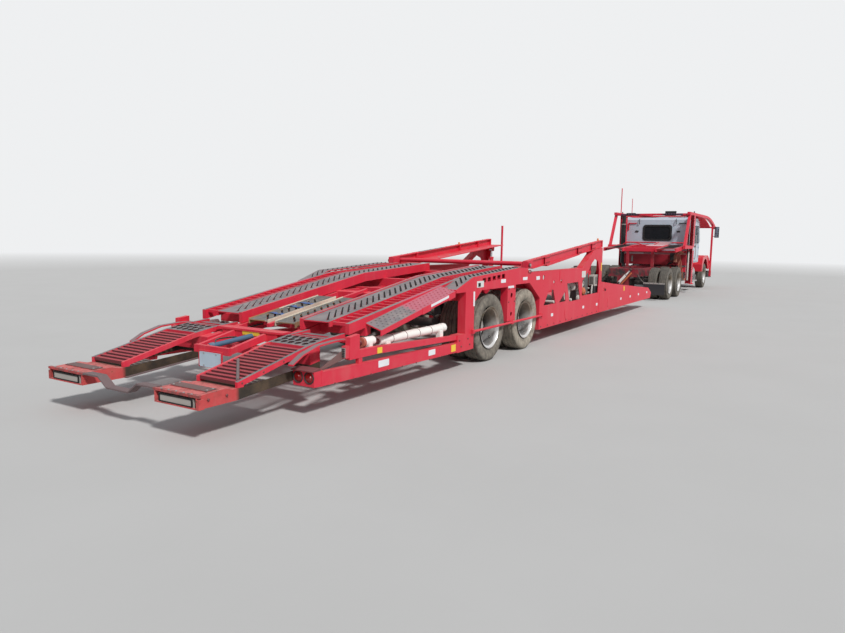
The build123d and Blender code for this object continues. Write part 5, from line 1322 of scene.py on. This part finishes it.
# %% [markdown]
# ## Running gear under the tracks
#
# Each trailer axle is stopped by two brake chambers and carried by an air bag on each side. Both are round,
# so a profile of radius and distance is turned about the direction in which the piece lies.

# %% Brake chambers and air bags
CHAMBER = capped([(0.050, -0.11), (0.078, -0.085), (0.082, -0.012), (0.090, -0.006), (0.090, 0.006),
                  (0.082, 0.012), (0.078, 0.070), (0.045, 0.095)])
BAG = capped([(0.085, 0.0), (0.095, 0.012), (0.120, 0.035), (0.126, 0.062), (0.112, 0.088), (0.120, 0.112),
              (0.118, 0.135), (0.085, 0.155)])


def vessel(*half):
    """The section of an air tank: half of it is given, and the other half is its mirror image."""
    return [*half, *((r, -far) for r, far in reversed(half))]


gear = Piece()
for axle in (rear_axle, front_axle):
    x = axle - rear_axle
    gear.both(turned(CHAMBER, (axle - 0.19, 0.560, 0.52), "x", 28))
    gear.both(hoop(0.091, 0.094, 0, 0.010, (axle - 0.19, 0.560, 0.52)), 1)
    gear.both(turned([(0.6 * r, 0.7 * z) for r, z in BAG], (axle + 0.19, 0.33, 0.545), "z", 28), 2)
    path = aft((x - 0.28, 0.56, 0.56), (x - 0.36, 0.50, 0.64), (x - 0.42, 0.30, 0.68), (x - 0.42, 0.02, 0.69))
    gear.both(pipe(path, 0.008), 2)
    gear.both(pipe(aft((x - 0.09, 0.560, 0.52), (x - 0.03, 0.560, 0.515)), 0.010), 1)
for x in (3.25, 5.25):
    line = vessel((TIP, -0.36), (0.07, -0.345), (0.105, -0.30), (0.115, -0.24))
    gear.add(turned(line, (rear_axle + x, 0.0, 0.40), "x", 28))
gear.build("running_gear", "trailer", "chassis_black", ["chassis_black", "bare_steel", "hose_black"])

# %% [markdown]
# ## Upper ramp and its cylinders
#
# The ramp rails are bolted together from lengths at flanged joints. Each joint shows a plate and two rows of
# bolts. The lifting cylinders have a gland at the mouth, a band half way up and a hard line along the barrel.

# %% Ramp trim and cylinder lines
RAMP_LINE = np.array([(1.222, 1.350), (5.080, 1.700)])
ramp = Piece()
for x in (2.03, 3.665, 4.48):
    ramp.both(strip(RAMP_LINE, (x - 0.10, x + 0.10), -0.010, -0.128, 1.2795, 1.2845))
    bolt_x = x + np.array([-0.075, -0.025, 0.025, 0.075] * 2)
    bolt_z = on(RAMP_LINE, bolt_x) - np.repeat([0.030, 0.105], 4)
    ramp.both(studs(at(bolt_x, 1.2845, bolt_z), 0.011, 0.008), 1)
    ramp.both(strip(RAMP_LINE, (x - 0.09, x + 0.09), 0.004, 0, 1.20, 1.27))
ramp.add(strip(RAMP_LINE, (2.12, 3.05), 0.0015, -0.001, 1.195, 1.279), 2)
for x, y, high in ((3.62, 1.21, 0.050), (4.95, -1.215, 0.045)):
    ramp.add(round_bar(0.018, -0.003, high, at(x, y, on(RAMP_LINE, x)), "z", 14), 3)
studs_x = np.arange(1.60, 5.0, 0.20)
ramp.both(studs(at(studs_x, 1.27, on(RAMP_LINE, studs_x)), 0.008, 0.005, "z"), 1)
hook_x = np.arange(1.70, 5.0, 0.42)
hooks = at(hook_x, 1.05, on(RAMP_LINE, hook_x) - 0.1305)
ramp.both(collars(hooks, 0.020, 0.006, 0.6, (steepness(RAMP_LINE), 0)), 4)
ramp.build("ramp_trim", "upper_ramp", "red_paint",
           ["red_paint", "worn_bolt", "deck_grip", "amber", "worn_edge"], smooth=40)

foot, eye = np.array([4.800, 0.430]), np.array([4.860, 1.480])
lift_way = (eye - foot) / np.linalg.norm(eye - foot)


def beside(*points):
    """Points beside the lifting cylinder: so far along its middle line, so far behind it, and y."""
    far, off, y = np.transpose(points)
    x, z = foot[:, None] + lift_way[:, None] * far + off * np.array([[-lift_way[1]], [lift_way[0]]])
    return at(x, y, z)


lines = Piece()
for low, high, radius in ((0.30, 0.33, 0.0585), (0.62, 0.65, 0.0585), (0.845, 0.882, 0.0590)):
    lines.both(tube(beside((low, 0, 1.08), (high, 0, 1.08)), radius, 28), 1)
hard = beside((0.10, 0.062, 1.095), (0.16, 0.072, 1.095), (0.45, 0.072, 1.095), (0.76, 0.072, 1.095),
              (0.83, 0.060, 1.09))
lines.both(pipe(hard, 0.0065, 8, 6))
lines.build("cylinder_lines", "ramp_barrels", "machinery", ["bare_steel", "red_paint"])

# %% [markdown]
# ## Back of the cab
#
# The rear window sits in a thick rubber frame with round corners. Two small lamps, two grab hooks and a rain
# gutter break up the white wall, and the roof carries marker lamps. The frame is the space between two
# rounded outlines of as many points, drawn out along X.

# %% Cab trim
CAB_BACK = hitch + 5.200
cab = Piece()
rubber = surround((0.985, 0.560, 0.105), (0.862, 0.442, 0.085), (0, 2.03),
                  CAB_BACK - 0.014, CAB_BACK + 0.010, 8)
cab.add(rubber)
cab.both(slab((0.120, 0.062, 0.030), (0.70, 2.075), CAB_BACK - 0.012, CAB_BACK + 0.002, "x", 6))
cab.both(slab((0.090, 0.040, 0.019), (0.70, 2.075), CAB_BACK - 0.020, CAB_BACK - 0.010, "x", 6), 5)
bracket = [(0.72, 2.372), (1.00, 2.372), (1.00, 2.120), (0.972, 2.120), (0.972, 2.345), (0.72, 2.345)]
bracket = prism(bracket, CAB_BACK - 0.030, CAB_BACK + 0.002, "x")
cab.add(bracket, 1).add(mirrored(bracket))
hook = fore((5.188, 0.62, 2.50), (5.155, 0.62, 2.46), (5.155, 0.62, 2.36), (5.188, 0.62, 2.33))
gutter = fore((5.32, 1.098, 2.475), (6.0, 1.098, 2.492), (6.70, 1.098, 2.470), (6.90, 1.098, 2.40),
              (7.18, 1.098, 1.72))
grab = fore((6.10, 1.097, 1.15), (6.10, 1.145, 1.19), (6.10, 1.145, 1.90), (6.10, 1.097, 1.94))
cab.both(pipe(hook, 0.012, 8, 6))
cab.both(pipe(gutter, 0.008, 6, 6), 2)
cab.both(pipe(grab, 0.013, 10, 8), 3)
cab.add(pipe(fore((5.199, -1.06, 1.62), (5.199, 1.06, 1.62)), 0.004, 6), 2)
cab.add(studs(at(5.2, np.linspace(-1.03, 1.03, 24), 1.66, hitch), 0.007, 0.004, "x", -1, 8), 3)
for y in (-0.80, -0.22, 0.0, 0.22, 0.80):
    cab.add(prism(rounded(0.120, 0.050, 0.022) * (0.6, 1) + (hitch + 6.66, y), 2.558, 2.582, "z"), 4)
cab.add(slab((0.46, 0.40, 0.05), (hitch + 6.05, 0.0), 2.558, 2.590, "z"), 2)
visor = [(6.86, 2.50), (7.09, 2.36), (7.10, 2.335), (7.085, 2.335), (6.855, 2.470)]
cab.add(prism(np.array(visor) + (hitch, 0), -0.93, 0.93))
for y in (-0.42, 0.36):
    arm = fore((7.262, y, 1.668), (7.240, y + 0.12, 1.74), (7.150, y + 0.30, 1.95), (7.075, y + 0.34, 2.13))
    cab.add(pipe(arm, 0.007, 8, 6))
    cab.add(tube(fore((7.225, y + 0.05, 1.775), (7.072, y + 0.42, 2.14)), 0.006, 6))
cab.build("cab_details", "tractor", "cab_trim",
          ["black_plastic", "red_paint", "cab_white", "bare_steel", "amber", "cab_trim"], smooth=38)

# %% [markdown]
# ## Doors, hood and bumper
#
# Door windows have rubber seals: the pane's outline, once as it is and once drawn in towards its middle. The
# hood has a bright frame round its grille, bezels round the lamps and a latch on each side. These ride on the
# door and the hood, so they swing with them.

# %% Door seals, grille frame and lamp bezels
PANE = (hitch, 0) + np.array([(6.235, 1.700), (6.980, 1.700), (6.770, 2.290), (6.235, 2.290)])
SHEET = [(6.165, 1.045), (7.085, 1.045), (7.085, 1.655), (6.815, 2.355), (6.165, 2.355)]
SHEET = (hitch, 0) + np.array(SHEET)


def drawn_in(outline, share):
    """An outline drawn in towards its middle by a share of its size."""
    return outline + (outline.mean(axis=0) - outline) * share


for body in ("door_left", "door_right"):
    seal = Piece()
    seal.add(ring(drawn_in(PANE, -0.045), drawn_in(PANE, 0.035), 1.088, 1.104, "y"))
    seal.add(ring(drawn_in(SHEET, 0.030), drawn_in(SHEET, 0.042), 1.095, 1.099, "y"), 2)
    seal.add(slab((0.19, 0.075, 0.02), (hitch + 6.27, 1.575), 1.095, 1.1005, "y"))
    seal.add(round_bar(0.012, 1.095, 1.104, (hitch + 6.40, 0, 1.575), "y", 14, 0.002), 1)
    if body == "door_right":
        seal.turn_over()
    seal.build(f"{body}_trim", body, "black_plastic", ["black_plastic", "bare_steel", "cab_white"])

NOSE_X = hitch + 9.350
nose = Piece()
nose.add(surround((0.790, 0.540, 0.050), (0.700, 0.450, 0.025), (0, 1.015), NOSE_X - 0.006, NOSE_X + 0.014))
bezel = surround((0.420, 0.215, 0.035), (0.368, 0.168, 0.020), (0.890, 0.890),
                 NOSE_X - 0.004, NOSE_X + 0.016)
nose.both(bezel)
bowl = [(TIP, 0.004), (0.050, 0.010), (0.066, 0.0135), (0.072, 0.0145), (0.072, 0.0115), (TIP, -0.001)]
for y in (0.800, 0.965):
    nose.both(turned(bowl, (NOSE_X, y, 0.890), "x", 32), 1)
nose.both(slab((0.110, 0.130, 0.02), (1.120, 0.965), NOSE_X - 0.030, NOSE_X + 0.004), 2)
nose.both(slab((0.120, 0.040, 0.010), (hitch + 7.42, 1.20), 0.795, 0.815, "y", 4), 3)
for k in range(6):
    nose.both(slab((0.300, 0.020, 0.008), (hitch + 8.05, 1.285 + 0.034 * k), 0.795, 0.8035, "y", 3), 3)
nose.add(pipe(fore((9.05, 0, 1.380), (8.4, 0, 1.502), (7.30, 0, 1.616)), 0.006, 6, 4), 4)
nose.build("hood_trim", "hood", "tank_metal",
           ["tank_metal", "lamp_clear", "amber", "black_plastic", "hood_paint"])

BUMPER_FRONT = hitch + 9.520
fog = (BUMPER_FRONT - 0.010, 0.66, 0.470)
glass = [(TIP, 0.006), (0.055, 0.009), (0.062, 0.0095), (0.062, -0.006), (TIP, -0.006)]
front = Piece()
front.both(turned(glass, fog, "x", 28))
collar = [(0.063, 0.0), (0.072, 0.0), (0.072, 0.0095), (0.063, 0.0098)]
front.both(turned(collar, fog, "x", 28, closed=True), 1)
front.add(slab((0.90, 0.120, 0.03), (0, 0.480), BUMPER_FRONT - 0.006, BUMPER_FRONT - 0.0003), 1)
front_bolts = at(9.514, 0.95 * np.array([-0.9, -0.52, -0.2, 0.2, 0.52, 0.9]), 0.585, hitch)
front.add(studs(front_bolts, 0.014, 0.006, "x", 1, 8), 2)
front.build("bumper_trim", "tractor", "tank_metal", ["lamp_clear", "black_plastic", "bare_steel"])

# %% [markdown]
# ## Tanks, stack and frame gear
#
# Bands hold the round fuel tanks, and a perforated shield keeps hands off the stack. The shield is a sleeve
# whose holes are near-black dimples, painted shade, set round it in a spiral of rows. Air tanks and a battery
# box hang between and beside the rails.

# %% Tanks, stack and frame gear
FUEL = (0.760, 0.640)  # y and z of the middle of a fuel tank
STACK = (hitch + 4.720, 1.040, 0.0)
RAM_FOOT, RAM_HEAD = fore((0.845, 0.100, 0.470), (0.855, -0.245, 0.885))
chassis = Piece()
for x in (5.86, 6.64):
    chassis.both(hoop(0.290, 0.296, 0, 0.03, (hitch + x, *FUEL), "x", 48))
for x, middle_x in ((5.64, -0.004), (6.86, 0.004)):
    edge = [(0.255, middle_x - 0.008), (0.290, middle_x - 0.006), (0.290, middle_x + 0.006),
            (0.255, middle_x + 0.008)]
    chassis.both(turned(edge, (hitch + x, *FUEL), "x", 48, closed=True))
filler = capped([(0.045, 0.28), (0.045, 0.315), (0.038, 0.325)])
chassis.both(turned(filler, (hitch + 6.35, *FUEL), "z", 24), 1)
tread_x, tread_y = np.meshgrid(np.linspace(5.95, 6.70, 16), [1.03, 1.075, 1.12])
chassis.both(studs(at(tread_x.ravel(), tread_y.ravel(), 0.370, hitch), 0.012, 0.004, "z"))
chassis.add(hoop(0.070, 0.0785, 1.86, 0.44, STACK, "z", 36), 2)
# the shield's holes are flat near-black discs: painted shade
turn, row = np.meshgrid(np.arange(18), np.arange(22))
angle = (turn + 0.5 * (row % 2)) * 2 * np.pi / 18
dots = np.stack([0.0786 * np.cos(angle), 0.0786 * np.sin(angle), 1.46 + 0.037 * row], -1)
chassis.add(studs(dots.reshape(-1, 3) + STACK, 0.0085, 0.0006, "z"), 3)
for z in (1.40, 2.31):
    chassis.add(hoop(0.063, 0.082, z, 0.012, STACK, "z", 36))
for x in (4.30, 6.10):
    line = vessel((TIP, -0.40), (0.07, -0.385), (0.110, -0.33), (0.120, -0.27))
    chassis.add(turned(line, (hitch + x, 0.0, 0.56), "x", 28), 4)
chassis.both(slab((0.52, 0.34, 0.03), (hitch + 5.32, 0.62), 0.505, 0.900, "y"), 4)
chassis.both(slab((0.54, 0.06, 0.02), (hitch + 5.32, 0.790), 0.500, 0.910, "y", 3), 3)
chassis.both(slab((0.600, 0.340, 0.012), (0.915, 0.345), hitch + 0.862, hitch + 0.872, "x", 3), 5)
chassis.both(slab((0.600, 0.040, 0.008), (0.915, 0.500), hitch + 0.856, hitch + 0.862, "x", 3))
chassis.both(studs(at(0.856, np.linspace(0.66, 1.17, 5), 0.500, hitch), 0.009, 0.006, "x", -1, 8), 2)
hanger = fore((0.915, 0.420, 0.740), (0.900, 0.500, 0.620), (0.890, 0.600, 0.525), (0.888, 0.700, 0.505),
              (0.888, 1.210, 0.505))
chassis.both(pipe(hanger, 0.017, 12, 8), 4)


def along(*shares):
    """Points on the short ram's middle line, each a share of the way from its foot to its head."""
    return np.array([RAM_FOOT + share * (RAM_HEAD - RAM_FOOT) for share in shares])


chassis.add(tube(along(0, 0.62), 0.040, 20), 7)
chassis.add(tube(along(0.60, 1), 0.022, 16), 7)
chassis.add(tube(along(0.57, 0.63), 0.044, 20))
chassis.add(tube(along(0, 0.8) + (0.0, -0.085, -0.020), 0.024, 12), 8)
for place in along(0.04, 0.96):
    chassis.add(round_bar(0.030, -0.045, 0.070, place, "x", 16), 4)
for x in (1.62, 2.94):
    chassis.both(turned(CHAMBER, (hitch + x - 0.20, 0.555, 0.54), "x", 28), 4)
    chassis.both(turned([(0.72 * r, z) for r, z in BAG], (hitch + x + 0.33, 0.42, 0.50), "z", 28), 6)
    path = np.array([(-0.30, 0.555, 0.58), (-0.38, 0.50, 0.66), (-0.42, 0.36, 0.70)]) + (hitch + x, 0, 0)
    chassis.both(pipe(path, 0.009), 6)
chassis.build("chassis_gear", "tractor", "tank_metal",
              ["bare_steel", "tank_metal", "black_plastic", "slot_dark", "chassis_black", "flap_black",
               "hose_black", "white_pipe", "rust_orange"])

# %% [markdown]
# ## Head rack: rams, lines and valves
#
# The decks over the cab and over the drive wheels are lifted by rams inside the rear posts. Oil reaches them
# through a bundle of hoses, clipped to the posts and to the cross beam behind the cab. All of these are tubes
# along bent paths.

# %% Rams, hoses and valve block
RAM = (hitch + 5.040, 1.098, 0.0)
BEAM_X = hitch + 4.180
rack = Piece()
rack.both(turned(capped([(0.032, 0.42), (0.036, 0.43), (0.036, 1.42), (0.032, 1.43)]), RAM, "z", 24))
rack.both(turned(capped([(0.018, 1.42), (0.018, 2.52)]), RAM, "z", 18), 1)
gland = [(0.036, 1.405), (0.041, 1.405), (0.041, 1.445), (0.020, 1.450)]
rack.both(turned(gland, RAM, "z", 24, closed=True), 2)
post_line = fore((5.015, 1.09, 1.00), (5.000, 1.085, 1.20), (5.000, 1.085, 2.30), (5.000, 1.07, 2.52),
                 (4.985, 0.98, 2.575))
rack.both(pipe(post_line, 0.010), 3)
rack.both(studs(at(4.9795, 1.228, np.linspace(0.55, 2.45, 9), hitch), 0.012, 0.006, "x", -1, 10), 4)
for k in range(4):
    z = 2.640 - 0.016 * k
    for y0, y1 in ((1.00, 0.36 + 0.04 * k), (-0.34 - 0.03 * k, -1.00)):
        path = fore((4.170, y0, z), (4.166, 0.7 * y0 + 0.3 * y1, z - 0.004), (4.166, 0.3 * y0 + 0.7 * y1, z),
                    (4.170, y1, z))
        rack.add(pipe(path, 0.0075), 3 if k % 2 else 6)
rack.add(slab((0.34, 0.100, 0.014), (-0.62, 2.628), BEAM_X - 0.075, BEAM_X - 0.004), 5)
rack.add(slab((0.30, 0.090, 0.014), (0.66, 2.628), BEAM_X - 0.075, BEAM_X - 0.004), 5)
for y in (-0.74, -0.66, -0.58, -0.50, 0.56, 0.64, 0.72):
    rack.add(round_bar(0.016, 0.0, -0.040, (BEAM_X - 0.074, y, 2.628), "x", 14), 6)
rack.add(slab((0.340, 0.055, 0.015), (-0.62, 2.700), BEAM_X - 0.05, BEAM_X + 0.06), 3)
for k in range(3):
    y = -0.98 + 0.035 * k
    path = fore((4.86, y, 1.30), (4.70, y + 0.02, 1.37), (4.40, y + 0.06, 1.42 - 0.02 * k),
                (4.12, y + 0.02, 1.38), (3.92, y + 0.05, 1.28), (3.82, y + 0.03, 1.06))
    rack.add(pipe(path, 0.013), 7)
    y = -0.74 - 0.045 * k
    path = fore((4.87, y, 1.30), (4.66, y, 1.52), (4.58, y - 0.05, 1.36), (4.60, y - 0.12, 1.04),
                (4.62, y - 0.18, 0.72), (4.74, -1.03, 0.46), (4.99, -1.048, 0.43 + 0.03 * k))
    rack.add(pipe(path, 0.012), 7)
for y in (0.74, 0.90):
    rack.add(slab((0.050, 0.200, 0.012), (y, 1.12), hitch + 4.893, hitch + 4.901), 8)
    rack.add(studs(at(4.893, y, [1.05, 1.19], hitch), 0.008, 0.005, "x", -1, 8), 4)
rack.add(slab((0.16, 0.22, 0.02), (-0.62, 1.22), hitch + 4.850, hitch + 4.901), 3)
for k in range(4):
    y = -0.67 + 0.035 * k
    path = fore((4.86, y, 1.12), (4.84, y, 1.05), (4.84, -0.60 + 0.03 * k, 0.99),
                (4.88, -0.50 + 0.02 * k, 0.93))
    rack.add(pipe(path, 0.009, 8, 6), 3)
rack.both(slab((0.045, 0.125, 0.006), (1.255, 1.50), hitch + 4.978, hitch + 4.981, "x", 3), 9)
rack.build("rack_gear", "tractor", "machinery",
           ["dull_white", "chrome_rod", "red_paint", "hose_black", "worn_bolt", "black_plastic", "purple_cap",
            "hose_tan", "grey_box", "silver_tag"], smooth=38)

# %% [markdown]
# ## Decks and mirrors
#
# The tractor's decks get the same louvre lips as the trailer's tracks, and each mirror gets its glass in a
# dark frame.

# %% Deck lips and mirror glass
DECK_LINE = np.array([(2.700, 1.500), (4.600, 1.620)])
deck_x = np.arange(2.760, 4.540 - SLOT_WIDE - 0.200, PITCH) + SLOT_WIDE / 2 + LIP_SHIFT
edge_x = np.linspace(2.80, 4.50, 12)
deck = Piece()
# the lips' open rear sides and ends are near black: painted shade
for side in (1, -1):
    start = at(deck_x, side * 0.625, on(DECK_LINE, deck_x) - 0.010, hitch)
    stop = at(deck_x + 0.200, side * 0.995, on(DECK_LINE, deck_x + 0.200) - 0.010, hitch)
    deck.add(ridges(start, stop, LIP_WIDE, LIP_HIGH), [0, 1, 1])
deck.both(studs(at(edge_x, 1.14, on(DECK_LINE, edge_x) - 0.050, hitch), 0.011, 0.008), 2)
pale = [(0.02, 1.580), (-0.50, 1.580), (-0.70, 1.715), (-0.22, 1.715)]
stripe = [(-0.05, 1.590), (-0.10, 1.590), (-0.27, 1.700), (-0.24, 1.706)]
deck.add(prism(pale, hitch + 4.352, hitch + 4.364, "x"), 3)
deck.add(prism(stripe, hitch + 4.348, hitch + 4.356, "x"), 4)
bow = fore((4.40, 0.96, 1.60), (4.40, 0.86, 1.665), (4.40, 0.62, 1.680), (4.40, 0.40, 1.640),
           (4.40, 0.28, 1.590))
deck.add(pipe(bow, 0.016, 10, 8), 4)
deck.build("deck_lips", "tractor_deck", "deck_steel",
           ["deck_grip", "slot_dark", "worn_bolt", "pink_plate", "red_paint"], smooth=50)

mirror = Piece()
for z, high in ((2.195, 0.25), (2.000, 0.12)):
    mirror.both(slab((0.130, high, 0.02), (1.3725, z), hitch + 9.2885, hitch + 9.2905))
back = surround((0.152, 0.415, 0.03), (0.138, 0.400, 0.025), (1.3725, 2.130), hitch + 9.284, hitch + 9.300, 5)
mirror.both(back, 1)
mirror.build("mirror_glasses", "tractor", "glass", ["mirror_glass", "black_plastic"])

# %% [markdown]
# ## Camera, light and floor
#
# The camera stands where the photographer stood: low, behind the tail and to its right. Its lens is 28 mm
# wide-angle on a 36 mm frame. One large soft lamp gives the noon light, and the pale surroundings fill the
# shadows.

# %% Camera
CAMERA_PLACE = (-16.099, -5.149, 1.642)
CAMERA_TURN = math.radians(31.466)  # from straight ahead towards the left
CAMERA_TILT = math.radians(-6.611)
CAMERA_ROLL = math.radians(0.879)


def aim(turn, tilt, roll):
    """A camera's rotation: it looks along (cos t cos p, sin t cos p, sin p), rolled about that line."""
    look = np.array([math.cos(turn) * math.cos(tilt), math.sin(turn) * math.cos(tilt), math.sin(tilt)])
    right = np.array([math.sin(turn), -math.cos(turn), 0.0])
    over = np.cross(right, look)
    rolled = math.cos(roll) * right + math.sin(roll) * over
    raised = -math.sin(roll) * right + math.cos(roll) * over
    return np.stack([rolled, raised, -look], axis=1)


lens_data = bpy.data.cameras.new("camera")
lens_data.lens = 28.0
lens_data.sensor_width = 36.0
lens_data.sensor_fit = "HORIZONTAL"
lens_data.clip_end = 200
camera = placed("camera", lens_data)
rotation = Matrix(aim(CAMERA_TURN, CAMERA_TILT, CAMERA_ROLL)).to_4x4()
camera.matrix_world = Matrix.Translation(CAMERA_PLACE) @ rotation
bpy.context.scene.camera = camera
print("camera at", CAMERA_PLACE)

# %% Floor, backdrop and lamp
FLOOR_SIZE = 160.0
SUN_FROM = (-0.35, -0.60, 0.72)  # the direction that the light comes from
PALE = (0.86, 0.87, 0.88)


def floor_finish():
    """A pale floor that keeps the shadow, and turns into the plain backdrop far from the truck."""
    f = Finish("floor", 0.9)
    f.feed(base=f.mix(f.noise(0.8, 6.0).ramp(0.3, 0.7) * 0.25, (0.47, 0.46, 0.445), (0.41, 0.40, 0.385)))
    far = ((f.x * f.x + f.y * f.y) ** 0.5).ramp(26.0, 60.0)
    glow = f.node("ShaderNodeEmission", {}, {"Color": (*PALE, 1.0), "Strength": 1.0})
    mixed = f.node("ShaderNodeMixShader", {}, {0: far, 2: glow})
    f.tree.links.new(f.shader.outputs["BSDF"], mixed.socket.node.inputs[1])
    f.tree.links.new(mixed.socket, f.tree.nodes["Material Output"].inputs["Surface"])
    return f.material


half = FLOOR_SIZE / 2
floor_mesh = bpy.data.meshes.new("floor")
corners = [(-half, -half, 0.0), (half, -half, 0.0), (half, half, 0.0), (-half, half, 0.0)]
floor_mesh.from_pydata(corners, [], [(0, 1, 2, 3)])
floor_mesh.materials.append(floor_finish())
placed("floor", floor_mesh)

noon = bpy.data.lights.new("noon", "SUN")
noon.energy = 3.2
noon.angle = math.radians(6)
placed("noon", noon).rotation_euler = Vector(SUN_FROM).to_track_quat("Z", "Y").to_euler()

world = bpy.data.worlds.new("sky")
bpy.context.scene.world = world
world.use_nodes = True
tree = world.node_tree
sky = tree.nodes["Background"]
sky.inputs["Color"].default_value = (0.82, 0.88, 0.96, 1.0)
sky.inputs["Strength"].default_value = 0.48
backdrop = tree.nodes.new("ShaderNodeBackground")
backdrop.inputs["Color"].default_value = (*PALE, 1.0)
seen = tree.nodes.new("ShaderNodeLightPath")
either, either_more = (tree.nodes.new("ShaderNodeMath") for k in range(2))
either.operation = either_more.operation = "MAXIMUM"
choose = tree.nodes.new("ShaderNodeMixShader")
surface = tree.nodes["World Output"].inputs["Surface"]
for source, target in (
    (seen.outputs["Is Camera Ray"], either.inputs[0]), (seen.outputs["Is Glossy Ray"], either.inputs[1]),
    (either.outputs[0], either_more.inputs[0]), (seen.outputs["Is Transmission Ray"], either_more.inputs[1]),
    (either_more.outputs[0], choose.inputs[0]), (sky.outputs[0], choose.inputs[1]),
    (backdrop.outputs[0], choose.inputs[2]), (choose.outputs[0], surface),
):
    tree.links.new(source, target)
bpy.context.scene.view_settings.view_transform = "Standard"
print("stage set")
